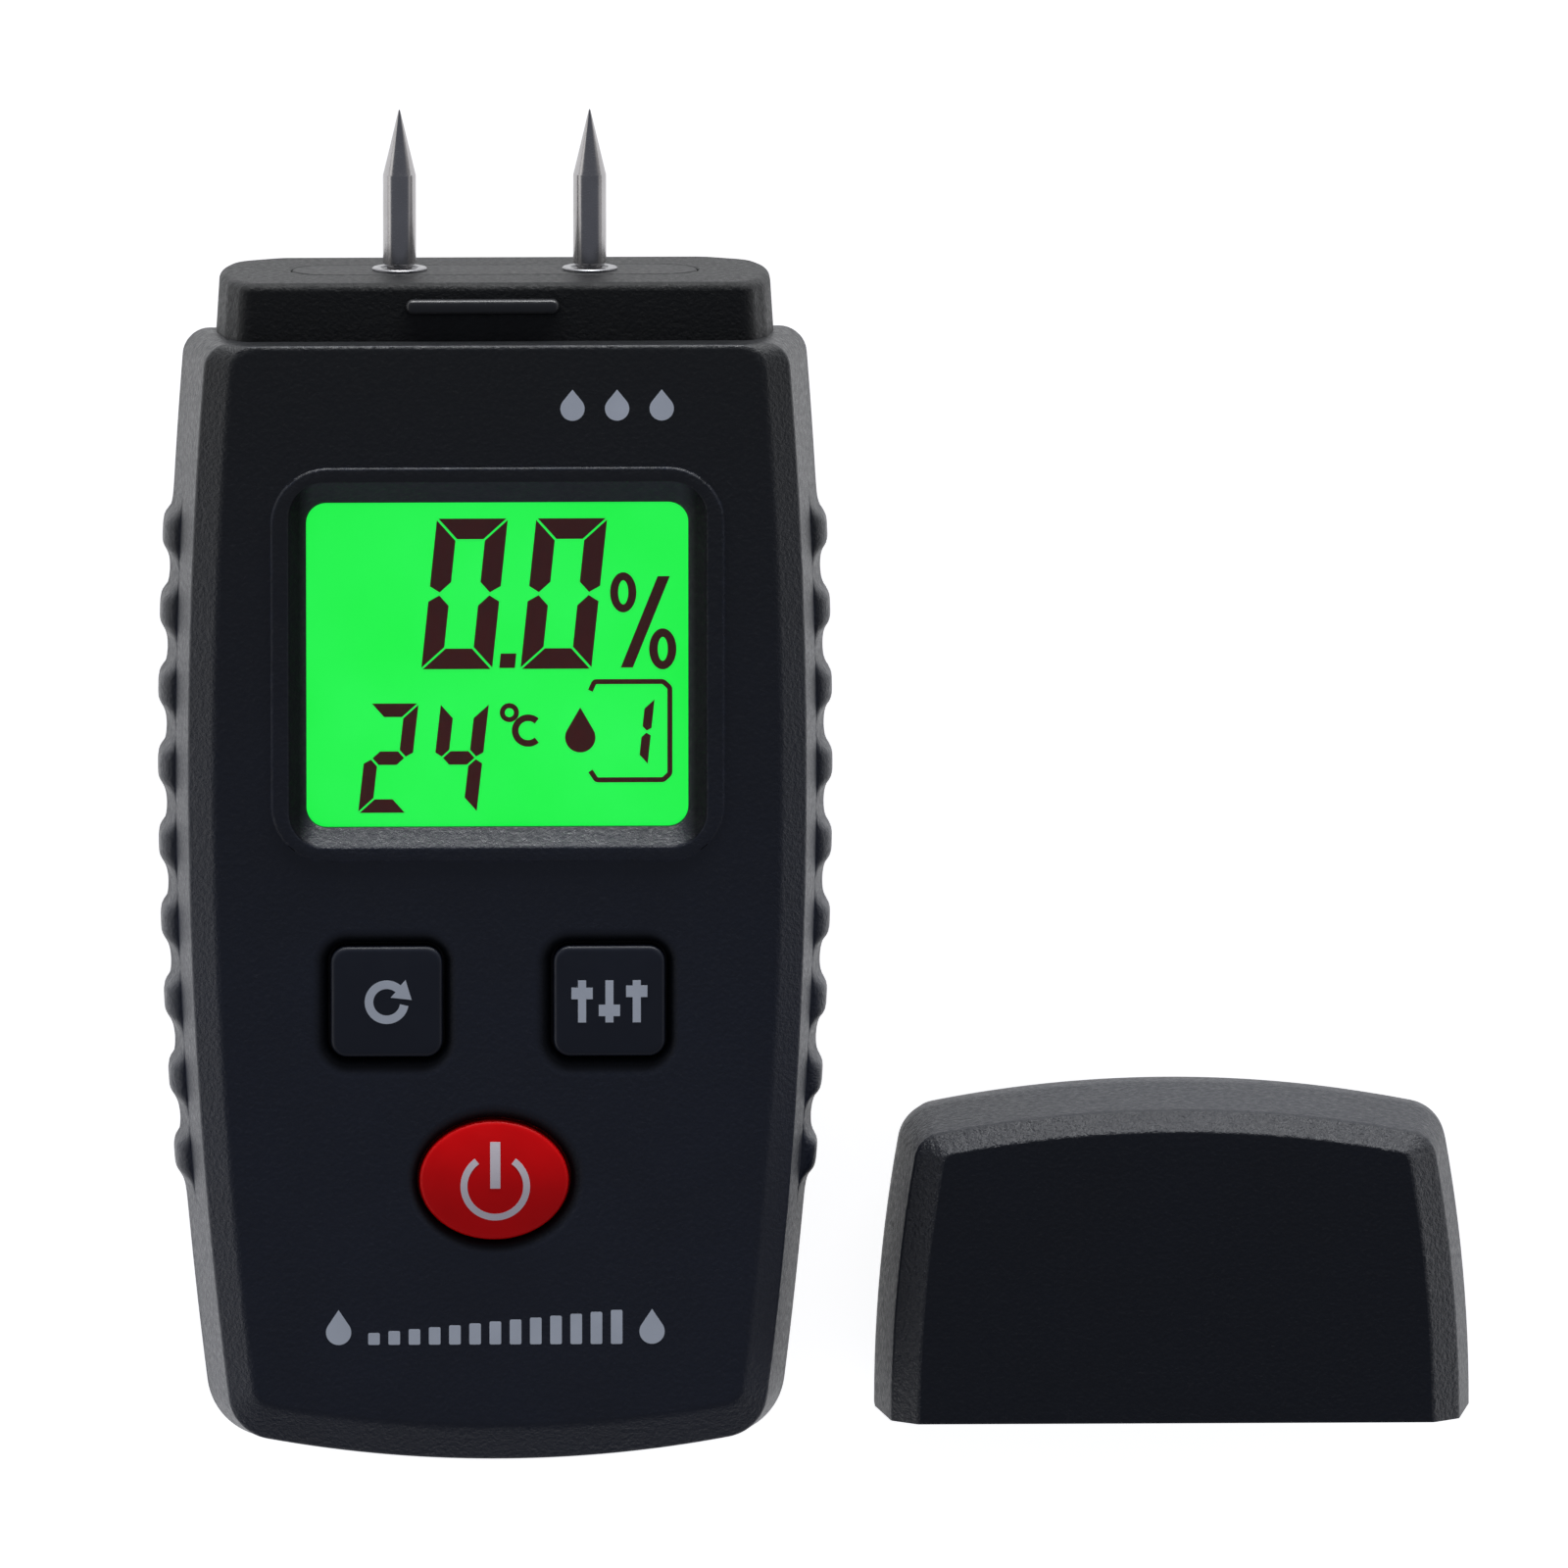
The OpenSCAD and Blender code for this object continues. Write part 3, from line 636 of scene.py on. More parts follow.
def bezel_rings():
    """The display's frame, as (width, height, corner radius, z, middle y) from the face inwards."""
    band_w, band_h = LCD_W + BAND_W, LCD_H + BAND_H
    rim_z = FACE_Z + BEZEL_RISE
    rings = [(BEZEL_W + grow, BEZEL_H + grow, r, z) for grow, r, z in [
        (0.16, BEZEL_R, FACE_Z), (0.0, BEZEL_R, FACE_Z + 0.08), (-0.1, BEZEL_R, FACE_Z + 0.19),
        (-0.35, BEZEL_R - 0.1, rim_z)]]
    rings += [(band_w + grow, band_h + grow, r, z) for grow, r, z in [
        (0.5, 3.6, rim_z), (0.1, 3.5, rim_z - 0.07), (-0.3, 3.4, rim_z - 0.25)]]
    rings += [(LCD_W + wide, LCD_H + tall, r, z) for wide, tall, r, z in [
        (0.4, 0.0, 2.2, 25.85), (0.0, -0.4, 2.0, 25.68), (-0.1, -0.5, 2.0, 25.5),
        (-0.1, -0.5, 2.0, LENS_Z), (3.6, 3.6, 2.5, LENS_Z), (3.6, 3.6, 2.5, CEILING_Z)]]
    lowered = 0.2
    return [(w, h, r, z, LCD_Y - (lowered if LENS_Z - 0.05 < z < 26 else 0)) for w, h, r, z in rings]


# The hollow round a key, as (how much wider than the key, depth below the face)
KEY_DISH = [(3.6, 0.0), (3.2, 0.02), (2.8, 0.07), (2.4, 0.14), (2.0, 0.22), (1.6, 0.32), (1.25, 0.44),
            (0.95, 0.6), (0.7, 0.8), (0.55, 1.1), (0.5, 1.4), (0.5, FACE_Z - CEILING_Z)]


def square_dish(x):
    """The rings of a square key's hollow, which lies a little towards the foot and the left."""
    rings = []
    for wide, depth in KEY_DISH:
        off = -0.07 * max(wide - 0.6, 0)
        outline = rounded(KEY_W + wide, KEY_W + wide * 1.1, 1.6 + 0.6 * wide, x + off, KEY_Y + off)
        rings.append(flat(outline, FACE_Z - depth))
    return rings


def oval_dish():
    rings = []
    for wide, depth in KEY_DISH:
        outline = oval(POWER_W + wide * 0.86, POWER_H + wide * 0.9, POWER_X + 0.05 * wide, POWER_Y)
        rings.append(flat(outline, FACE_Z - depth))
    return rings


def ridge_end_levels(start, way):
    """Heights crowded towards the rounded end of the grip ridges."""
    return [start + way * RIDGE_END * (1 - math.sin(math.radians(9 * i))) for i in range(11)]


def mark_shaded_slopes(shape, first):
    """Gives the faces of the display's frame that lie in a box round the display, from face first
    on, the slot of the material with painted shade on the frame's side slopes."""
    half_w, half_h = (LCD_W + BAND_W) / 2 + 0.1, (LCD_H + BAND_H) / 2 + 0.1
    for i in range(first, len(shape.faces)):
        middle = sum((Vector(shape.verts[v]) for v in shape.faces[i]), Vector()) / 4
        inside = abs(middle.x) < half_w and abs(middle.y - LCD_Y) < half_h
        if inside and middle.z < FACE_Z + 0.1:
            shape.slots[i] = 2


def front_case():
    shape = Shape()
    corners = [(0.0, PART_Z + 0.25), BEVEL_START, BEVEL_END, (BEVEL_END[0] + 1.2, FACE_Z)]
    path = fillet_path(corners, [0.6, 1.5])[:-1]
    draft = BEVEL_START[0] / (BEVEL_START[1] - PART_Z)
    levels = [15, 15.8, *ridge_end_levels(RIDGE_FRONT, -1), 19.5, 21, 23.4]
    wall = [(draft * (z - PART_Z), z) for z in levels]
    stations = [(PART_LINE_INSET, PART_Z)] + path[:1] + wall + path[1:]
    outer = shape.loft([housing_ring(z, inset, shoulder_inset(z)) for inset, z in stations])
    hollow = [(WALL + 0.18, PART_Z), (WALL + 1.9, CEILING_Z - 1), (WALL + 3, CEILING_Z)]
    inner = shape.loft([flat(housing_outline(inset, WALL), z) for inset, z in hollow])
    shape.bridge(outer[0], inner[0])
    first = len(shape.faces)
    wells = [shape.loft([flat(rounded(w, h, r, 0, y), z) for w, h, r, z, y in bezel_rings()])]
    # The frame's slopes round the display take the material with painted shade on their sides.
    mark_shaded_slopes(shape, first)
    for rings in (square_dish(-KEY_X), square_dish(KEY_X), oval_dish()):
        # The key hollows take the moat material, whose painted shade deepens with depth.
        wells.append(shape.loft(rings, slots=(1,)))
    shape.fill(outer[-1], *[well[0] for well in wells])
    shape.fill(inner[-1], *[well[-1] for well in wells])
    # Slots: the case plastic, painted shade in the key hollows, painted shade on the display frame's side
    # slopes.
    piece("front_case", shape, "meter", CASE, MOAT_SHADE, BEZEL_SIDE_SHADE, replaces=["front_shell"],
          slot="case_plastic", weighted=True)


def back_lean(z):
    """How far the rear shell's shoulder leans in towards its back."""
    return 0.2 * max(PART_Z - 1 - z, 0.0)


def rear_outer():
    path = fillet_path([(0.0, PART_Z - 0.25), (1.35, 0.0), (6.0, 0.0)], [3.0], 12)[:-1]
    levels = [13, 12, 11.2, *ridge_end_levels(RIDGE_BACK, 1), 7, 5.5]
    wall = [(0.1 * (PART_Z - z), z) for z in levels]
    stations = [(PART_LINE_INSET, PART_Z)] + path[:1] + wall + path[1:]
    rings = []
    for inset, z in stations:
        rounded_back = 0.9 * max(0.0, 1 - z / 0.9) ** 2
        rings.append(housing_ring(z, inset, back_lean(z) + rounded_back))
    shape = Shape()
    shape.solid(rings)
    return work_object(shape)


def rear_case():
    space = Shape()
    hollow = [(WALL + 3, WALL), (WALL + 1.3, 4.0), (WALL, PART_Z + 1)]
    space.solid([flat(housing_outline(inset, WALL + back_lean(z), fine=False), z) for inset, z in hollow])
    cavity = work_object(space)
    bosses = []
    for x, y in CASE_SCREWS:
        boss = Shape()
        boss.lathe([(3.4, 0.0), (3.4, PART_Z + 2)], (x, y, 0), "z")
        bosses.append(work_object(boss))
    bay_block = box_shape(-18.5, 18.5, -58, -0.3, 0, BAY_TOP + 1.2)
    boolean(cavity, [work_object(bay_block), *bosses])
    gap, beyond = 0.3, -70
    bay = box_shape(-BAY_W, BAY_W, BAY_Y[0], BAY_Y[1], -1, BAY_TOP)
    doorway = box_shape(-DOOR_W - gap, DOOR_W + gap, beyond, DOOR_Y + gap, -1, 1.3)
    tongues = box_shape(-TONGUE_W - gap, TONGUE_W + gap, beyond, DOOR_Y + gap, 1.2, 2.4)
    cutters = [cavity, work_object(bay), work_object(doorway), work_object(tongues)]
    counterbore = [(3.3, -0.1), (3.2, 0.0), (2.9, 0.3), (2.9, 4.0), (1.35, 4.0), (1.35, PART_Z + 3)]
    for x, y in CASE_SCREWS:
        hole = Shape()
        hole.lathe(counterbore, (x, y, 0), "z")
        cutters.append(work_object(hole))
    case = boolean(rear_outer(), cutters)
    into_metres(case, "rear_case")
    finish_piece(case, "meter", [REAR], replaces=["rear_shell"], slot="rear_plastic", weighted=True)


def door():
    """The sliding battery door, with a thumb grip sunk in it."""
    prism = Shape()
    top, foot = DOOR_Y, -60
    levels = [(DOOR_W - 0.25, top - 0.25, 0.12), (DOOR_W, top, 0.4), (DOOR_W, top, 1.45),
              (TONGUE_W, top, 1.46), (TONGUE_W, top, 2.15)]
    prism.solid([[(-w, foot, z), (w, foot, z), (w, end, z), (-w, end, z)] for w, end, z in levels])
    panel = boolean(rear_outer(), [work_object(prism)], "INTERSECT")
    dish = Shape()
    steps = [(1.06, 0.0), (1.0, 0.3), (0.93, 0.55), (0.8, 0.72), (0.5, 0.8)]
    dish.solid([flat(rounded(16 * k, 13 * k, 4.5 * k, 0, GRIP_Y), z) for k, z in steps])
    boolean(panel, [work_object(dish)])
    into_metres(panel, "door_panel")
    finish_piece(panel, "battery_door", [REAR], replaces=["battery_door"], slot="rear_plastic",
                 weighted=True)
    door_ribs()


def door_ribs():
    """Five low ribs across the thumb grip, each tapering to its ends."""
    ribs = Shape()
    turns = [2 * math.pi * k / 14 for k in range(14)]
    for i in range(5):
        y = GRIP_Y + 2.2 * (i - 2)
        rings = []
        for x in [-5.6 + 0.4 * k for k in range(29)]:
            tall = 0.62 * math.sqrt(max(1 - (abs(x) / 5.7) ** 4, 0.01))
            rings.append([(x, y + 0.55 * math.cos(a), 0.82 - tall * max(math.sin(a), -0.1))
                          for a in turns])
        ribs.solid(rings)
    piece("door_ribs", ribs, "battery_door", REAR, slot="rear_plastic")


front_case()
rear_case()
door()

# -------- head and pins


def head_section(gap):
    """The head's section across the meter, as (x, z), with larger corners at the back."""
    w, t = HEAD_W + gap, HEAD_T + gap
    corners = [(w - 6, t), (w - 2.2, t), (w - 0.7, t - 3.0), (w, t - 7.5), (w, t - 12.5),
               (w - 1.2, t - 16.5), (w - 5.5, -t), (w - 9, -t)]
    section = fillet_path(corners, [1.6, 4.0, 10.0, 10.0, 3.6, 3.6], 6)
    half = [(x, HEAD_MID_Z + z) for x, z in section]
    return half + [(-x, z) for x, z in reversed(half)]


def along_y(outline, y):
    return [(x, y, z) for x, z in outline]


def racetrack(half, r):
    """A long round-ended section across the head, as (x, z)."""
    return arc(half, HEAD_MID_Z, r, -90, 90, 20) + arc(-half, HEAD_MID_Z, r, 90, 270, 20)


def head():
    shape = Shape()
    edge = fillet_path([(0.0, SHOULDER_Y - 3), (-0.55, HEAD_TOP), (-3.0, HEAD_TOP)], [0.9], 8)[:-1]
    made = shape.loft([along_y(head_section(gap), y) for gap, y in edge])
    shape.fill(made[0])
    steps = [(0.34, 0.0), (0.2, 0.12), (0.2, 1.65)]
    groove = shape.loft([along_y(racetrack(PLATE_HALF, PLATE_R + gap), HEAD_TOP - depth)
                         for gap, depth in steps])
    shape.fill(made[-1], groove[0])
    shape.fill(groove[-1])
    piece("head_case", shape, "meter", HEAD, replaces=["head_block"], slot="head_plastic", weighted=True)

    ridges = Shape()
    for face in (-1, 1):
        rings = []
        for grow, out in [(0.0, -0.3), (0.0, 0.14), (-0.1, 0.36), (-0.26, 0.52), (-0.5, 0.6)]:
            outline = rounded(15.2 + 2 * grow, 1.55 + 2 * grow, 0.74 + grow, -1.4, HEAD_TOP - 2.3, 8)
            rings.append([(x, y, HEAD_MID_Z + face * (HEAD_T - 0.22 + out)) for x, y in outline])
        ridges.solid(rings)
    piece("cap_detents", ridges, "meter", RUBBED, slot="head_plastic")

    plate = Shape()
    steps = [(0.0, -1.6), (0.0, -0.1), (-0.12, 0.02)]
    plate.solid([along_y(racetrack(PLATE_HALF, PLATE_R + grow), HEAD_TOP + rise)
                 for grow, rise in steps])
    piece("pin_insert", plate, "meter", INSERT, replaces=["pin_plate"], slot="insert_plastic",
          weighted=True)


def pins():
    for name, x in (("left_pin", -PIN_X), ("right_pin", PIN_X)):
        shape = Shape()
        tip = PIN_TIP_Y - PIN_ROOT_Y
        profile = [(1.25, -6.6), (1.25, -0.1), (PIN_R - 0.12, 0.0), (PIN_R, 0.12), (PIN_R, tip - 6.45),
                   (PIN_R - 0.03, tip - 6.4), (0.22, tip - 0.6), (0.1, tip - 0.12), (0.03, tip)]
        shape.lathe(profile, (x, PIN_ROOT_Y, HEAD_MID_Z), count=64)
        piece(name + "_turned", shape, "meter", STEEL, replaces=[name], slot="pin_steel", sharp=20)
    collars = Shape()
    profile = [(2.6, -0.05), (2.72, 0.04), (2.72, 0.2), (2.6, 0.3), (1.95, 0.34), (1.85, 0.3),
               (1.8, 0.15), (PIN_R - 0.1, 0.15)]
    for x in (-PIN_X, PIN_X):
        collars.lathe(profile, (x, HEAD_TOP, HEAD_MID_Z), count=64)
    piece("turned_collars", collars, "meter", COLLAR, replaces=["pin_collars"], slot="pin_steel")


head()
pins()

# -------- keys


def square_key(name, x, body):
    """A key with a flange under the face, rounded shoulders and a top that is very slightly crowned."""
    shape = Shape()
    ledge, shoulder = FLANGE_Z + FLANGE_T, KEY_TOP_Z - 0.6
    rings = [(1.8, 2.2, FLANGE_Z), (1.8, 2.2, ledge), (0.0, 1.6, ledge), (0.0, 1.6, shoulder)]
    for i in range(1, 8):
        a = math.radians(90 * i / 7)
        shrink = 1 - math.cos(a)
        rings.append((-1.1 * shrink, 1.6 - 0.5 * shrink, shoulder + 0.45 * math.sin(a)))
    rings += [(-3.0, 1.0, KEY_TOP_Z - 0.12), (-6.0, 0.8, KEY_TOP_Z - 0.08), (-9.0, 0.5, KEY_TOP_Z - 0.06)]
    shape.solid([flat(rounded(KEY_W + w, KEY_W + w, r, x, KEY_Y, 8), z) for w, r, z in rings])
    piece(name + "_cap", shape, body, KEY, replaces=[name], slot="key_plastic", weighted=True)


DOME_EDGE, DOME_LOW, DOME_RISE = 0.815, 26.98, 0.7


def power_key():
    shape = Shape()
    ledge, shoulder = FLANGE_Z + FLANGE_T, 26.5
    sides = [(2.0, FLANGE_Z), (2.0, ledge), (0.0, ledge), (0.0, shoulder)]
    for i in range(1, 8):
        a = math.radians(75 * i / 7)
        sides.append((-1.1 * (1 - math.cos(a)), shoulder + 0.5 * math.sin(a)))
    rings = [flat(oval(POWER_W + w, POWER_H + w, POWER_X, POWER_Y), z) for w, z in sides]
    for i in range(1, 13):
        s = 1 - i / 12.5
        dome = oval((POWER_W - DOME_EDGE) * s, (POWER_H - DOME_EDGE) * s, POWER_X, POWER_Y)
        rings.append(flat(dome, DOME_LOW + DOME_RISE * (1 - s * s)))
    shape.solid(rings)
    piece("power_key_cap", shape, "power_key", RED, replaces=["power_key"], slot="power_red",
          weighted=True)


square_key("mode_key", -KEY_X, "mode_key")
square_key("set_key", KEY_X, "set_key")
power_key()

# -------- print and display marks


def strip(points, width):
    """A band of even width along an open path."""
    left, right = [], []
    for i, p in enumerate(points):
        ahead = Vector(points[min(i + 1, len(points) - 1)]) - Vector(points[max(i - 1, 0)])
        side = Vector((-ahead.y, ahead.x)).normalized() * width / 2
        left.append(tuple(Vector(p) + side))
        right.append(tuple(Vector(p) - side))
    return right + left[::-1]


def droplet(cx, cy, w, h, count=28):
    """A water drop with its point up."""
    r = w / 2
    top = (cx, cy + h / 2)
    middle_y = cy - h / 2 + r
    tangent = math.degrees(math.asin(r / (top[1] - middle_y)))
    return arc(cx, middle_y, r, 180 - tangent, 360 + tangent, count) + [top]


def bar(cx, cy, w, h, r=0.15):
    return rounded(w, h, r, cx, cy, 3)


def slider(cx, cy, knob, line=0.8, tall=4.2, wide=2.1, thick=1.15):
    """The outline of a slider control: a line with a knob across it."""
    w, k, low, high = line / 2, wide / 2, knob - thick / 2, knob + thick / 2
    right = [(w, -tall / 2), (w, low), (k, low), (k, high), (w, high), (w, tall / 2)]
    return [(cx + x, cy + y) for x, y in right + [(-x, y) for x, y in reversed(right)]]


def annulus(cx, cy, rx, ry, stroke):
    """A closed ring: its outer loop and its hole."""
    return [oval(2 * rx + grow, 2 * ry + grow, cx, cy, 40) for grow in (stroke, -stroke)]


def marks(name, outlines, z0, z1, body, mat, slot, rings=()):
    """Printed shapes: plain outlines, and rings with a hole each."""
    shape = Shape()
    for outline in outlines:
        shape.prism(outline, z0, z1)
    for loops in rings:
        shape.plate(loops, z0, z1)
    piece(name, shape, body, mat, slot=slot)


def face_print():
    outlines = [droplet(x, 50.5, 2.4, 3.1) for x in (7.4, 11.8, 16.2)]
    base = -43.2
    outlines += [droplet(x, base + 1.75, 2.5, 3.5) for x in (-15.8, 15.2)]
    for i in range(13):
        tall = 1.2 + 2.2 * i / 12
        outlines.append(bar(-12.3 + 2.0 * i, base + tall / 2, 1.15, tall))
    marks("face_print", outlines, FACE_Z - 0.02, FACE_Z + 0.02, "meter", PRINT, "case_plastic")


def key_prints():
    low, high = KEY_TOP_Z - 0.15, KEY_TOP_Z - 0.05
    turn, r, wing = 50, 1.75, 1.15
    ring = strip(arc(-KEY_X, KEY_Y, r, turn, 350, 40), 0.85)
    out = Vector((math.cos(math.radians(turn)), math.sin(math.radians(turn))))
    on = Vector((out.y, -out.x))
    middle = Vector((-KEY_X, KEY_Y))
    corners = [(r - wing, 0), (r, 1.75), (r + wing, 0)]
    arrow = [tuple(middle + out * along + on * ahead) for along, ahead in corners]
    marks("mode_mark", [ring + arrow], low, high, "mode_key", PRINT, "key_plastic")
    sliders = [slider(KEY_X + x, KEY_Y, knob) for x, knob in ((-2.7, 0.8), (0.0, -0.9), (2.7, 1.0))]
    marks("set_mark", sliders, low, high, "set_key", PRINT, "key_plastic")


def on_dome(outline, lift):
    """Lays an outline on the power key's dome."""
    half_w, half_h = (POWER_W - DOME_EDGE) / 2, (POWER_H - DOME_EDGE) / 2
    points = []
    for x, y in outline:
        out = math.hypot((x - POWER_X) / half_w, (y - POWER_Y) / half_h)
        points.append((x, y, DOME_LOW + DOME_RISE * (1 - out ** 2) + lift))
    return points


def power_print():
    mid_x, mid_y = POWER_X + 0.1, POWER_Y - 0.5
    ring = strip(arc(mid_x, mid_y, 3.1, 126, 414, 72), 0.68)
    stem = strip([(mid_x, mid_y - 0.2 + 4.6 * i / 12) for i in range(13)], 1.0)
    shape = Shape()
    for outline in (ring, stem):
        half = len(outline) // 2
        low, high = shape.ring(on_dome(outline, -0.1)), shape.ring(on_dome(outline, 0.03))
        shape.bridge(low, high)
        for layer in (low, high):
            right, left = layer[:half], layer[half:][::-1]
            shape.add([(right[i], right[i + 1], left[i + 1], left[i]) for i in range(half - 1)])
    piece("power_mark", shape, "power_key", RED_PRINT, slot="power_red")


SEGMENTS = {"0": "abcdef", "1": "bc", "2": "abged", "4": "fgbc"}


def digit(char, x, y, w, h, t, gap, slant):
    """Seven-segment outlines: the lower left corner at x, y, with bar thickness t, a gap between
    the segments and a slant in degrees."""
    g, half, lean = gap / 2, h / 2, math.tan(math.radians(slant))
    # Heights on the upright bars, above and below the middle
    above = [half + t / 2 + g, half + g, half + t * 0.3 + g]
    below = [half - t / 2 - g, half - g, half - t * 0.3 - g]
    shapes = {
        "a": [(g, h), (w - g, h), (w - t - g, h - t), (t + g, h - t)],
        "d": [(g, 0), (t + g, t), (w - t - g, t), (w - g, 0)],
        "g": [(g + t * 0.5, half), (t + g, half + t / 2), (w - t - g, half + t / 2),
              (w - g - t * 0.5, half), (w - t - g, half - t / 2), (t + g, half - t / 2)],
        "f": [(0, h - g), (t, h - t - g), (t, above[0]), (t * 0.5, above[1]), (0, above[2])],
        "e": [(0, g), (0, below[2]), (t * 0.5, below[1]), (t, below[0]), (t, t + g)],
        "b": [(w, h - g), (w, above[2]), (w - t * 0.5, above[1]), (w - t, above[0]), (w - t, h - t - g)],
        "c": [(w, g), (w - t, t + g), (w - t, below[0]), (w - t * 0.5, below[1]), (w, below[2])]}
    return [[(x + px + py * lean, y + py) for px, py in shapes[s]] for s in SEGMENTS[char]]


# Width, height, bar thickness, gap and slant of the digits
BIG_DIGIT = (7.0, 15.0, 2.05, 0.3, 6.0)
MIDDLE_DIGIT = (4.75, 10.9, 1.35, 0.28, 6.5)
SMALL_DIGIT = (3.8, 6.6, 0.9, 0.2, 6.0)


def display():
    """The dark segments: the reading, the temperature, and the mode in its frame."""
    cy = LCD_Y - 0.3
    outlines = digit("0", -7.5, cy - 0.5, *BIG_DIGIT)
    outlines += digit("0", 2.3, cy - 0.5, *BIG_DIGIT)
    point = [(0.2, cy - 0.4), (1.75, cy - 0.4), (1.9, cy + 1.05), (0.35, cy + 1.05)]
    outlines.append(point)
    outlines += digit("2", -13.75, cy - 14.8, *MIDDLE_DIGIT)
    outlines += digit("4", -6.8, cy - 14.8, *MIDDLE_DIGIT)
    outlines += digit("1", 11.05, cy - 10.1, *SMALL_DIGIT)
    percent_stroke = [(12.2, cy - 0.4), (13.4, cy - 0.4), (17.05, cy + 8.7), (15.85, cy + 8.7)]
    outlines.append(percent_stroke)
    celsius = strip(arc(3.05, cy - 6.65, 1.28, 48, 312, 30), 0.66)
    outlines.append(celsius)
    percent_rings = [annulus(12.45, cy + 7.1, 0.9, 1.6, 0.8), annulus(16.35, cy + 1.45, 0.92, 1.62, 0.85)]
    degree_ring = annulus(1.2, cy - 4.85, 0.7, 0.7, 0.5)
    right, top, foot = 17.05, cy - 1.8, cy - 11.6
    frame_path = [(9.2, top - 0.9), (9.6, top), (16.4, top), (right, top - 0.6), (right, foot + 0.6),
                  (16.4, foot), (9.8, foot), (9.2, foot + 0.9)]
    outlines.append(strip(fillet_path(frame_path, [0.3, 0.5, 0.5, 0.5, 0.5, 0.3], 4), 0.5))
    outlines.append(droplet(8.2, cy - 6.6, 3.0, 4.5))
    marks("display_segments", outlines, LCD_TOP_Z + 0.02, LCD_TOP_Z + 0.06, "meter", INK, "lcd_green",
          [*percent_rings, degree_ring])


face_print()
key_prints()
power_print()
display()

# -------- cap


CROWN_C = Vector((0, CAP_H - CROWN_R))
CAP_SIDE_C = Vector((CAP_W - CAP_SIDE_R, 0))


def cap_path(inset, crown_inset):
    """The cap's outline from its right rim corner round the crown to its left one."""
    corner_r = max(CAP_CORNER - inset, 1.1)
    corner_c = meet(CROWN_C, CROWN_R - crown_inset - corner_r, CAP_SIDE_C, CAP_SIDE_R - inset - corner_r)
    side_turn, crown_turn = heading(corner_c - CAP_SIDE_C), heading(corner_c - CROWN_C)
    right = arc(CAP_SIDE_C.x, CAP_SIDE_C.y, CAP_SIDE_R - inset, 0, side_turn, 12)
    right += arc(corner_c.x, corner_c.y, corner_r, side_turn, crown_turn, 12)[1:]
    right += arc(CROWN_C.x, CROWN_C.y, CROWN_R - crown_inset, crown_turn, 90, 24)[1:]
    return right + [(-x, y) for x, y in reversed(right[:-1])]


def cap():
    """A shell open at its rim, with a bevel round its front and its back."""
    shape = Shape()
    wall, middle = CAP_BEVEL_START, CAP_T / 2
    corners = [(0.0, middle + 1.5), (wall, CAP_T - 2.4), (3.95, CAP_T), (6.0, CAP_T)]
    side = [(0.0, middle)] + fillet_path(corners, [1.0, 0.6], 6)[:-1]
    outside = [(inset, CAP_T - z) for inset, z in reversed(side)] + side[1:]
    half = [(4.0, 2.05), (2.75, 3.6), (1.6, middle - 3)]
    inside = half + [(inset, CAP_T - z) for inset, z in reversed(half)]

    def crown_inset(inset):
        """The crown's bevel is steeper than the sides'."""
        return inset if inset < wall else wall + (inset - wall) * 0.7

    def skin(levels, bevel_slot=0):
        rows = []
        for inset, z in levels:
            path = cap_path(inset, crown_inset(inset))
            rows.append(shape.ring([(CAP_AT[0] + x, CAP_AT[1] + y, z) for x, y in path]))
        for i, (a, b) in enumerate(zip(rows, rows[1:])):
            on_bevel = levels[i][0] + levels[i + 1][0] > 3.0
            shape.bridge(a, b, closed=False, slot=bevel_slot if on_bevel else 0)
        shape.fill(rows[0])
        shape.fill(rows[-1])
        return [row[0] for row in rows] + [row[-1] for row in reversed(rows)]

    shape.fill(skin(outside, bevel_slot=1), skin(inside))
    piece("cap_shell", shape, "cap", CAP, CAP_BEVEL, replaces=["protective_cap"], slot="cap_plastic",
          weighted=True)


cap()

# -------- batteries, springs and small CAD parts


def cell(name, x, up):
    """An AAA cell, with its sleeve, band and bare ends."""
    shape = Shape()
    base = BAY_Y[0] + 4.1 if up > 0 else BAY_Y[1] - 4.1
    foot = [(4.3, 0.0), (4.6, 0.05), (4.7, 0.2), (4.75, 0.3)]
    sleeve = [(5.05, 0.3), (CELL_R, 0.5), (CELL_R, 9.5), (CELL_R, 30.0), (CELL_R, 43.0), (5.0, 43.35),
              (4.6, 43.45), (4.4, 43.5)]
    button = [(2.2, 43.55), (1.95, 43.6), (1.9, 44.2), (1.7, 44.45)]
    profile = [(r, along * up) for r, along in foot + sleeve + button]
    slots = [1, 1, 1, 0, 0, 0, 2, 0, 0, 0, 0, 1, 1, 1, 1]
    shape.lathe(profile, (x, base, CELL_Z), slots=slots)
    piece(name + "_cell", shape, "meter", CELL, PLATED, CELL_BAND, replaces=[name], slot="cell_wrap")


def springs():
    """A conical coil at each cell's foot, with closed end turns."""
    shape = Shape()
    steps, coils = 180, 3.6
    for x, end, way in ((-CELL_X, BAY_Y[0], 1), (0.0, BAY_Y[1], -1), (CELL_X, BAY_Y[0], 1)):
        path = []
        for i in range(steps + 1):
            t = i / steps
            turn = 2 * math.pi * coils * t
            r = 3.7 - 1.4 * t
            along = 0.75 + 3.0 * max(0.0, min(1.0, (t - 0.12) / 0.76))
            path.append((x + r * math.cos(turn), end + way * along, CELL_Z + r * math.sin(turn)))
        shape.tube(path, 0.28, 10)
    piece("cell_springs", shape, "meter", PLATED, replaces=["battery_springs"], slot="plated_steel")


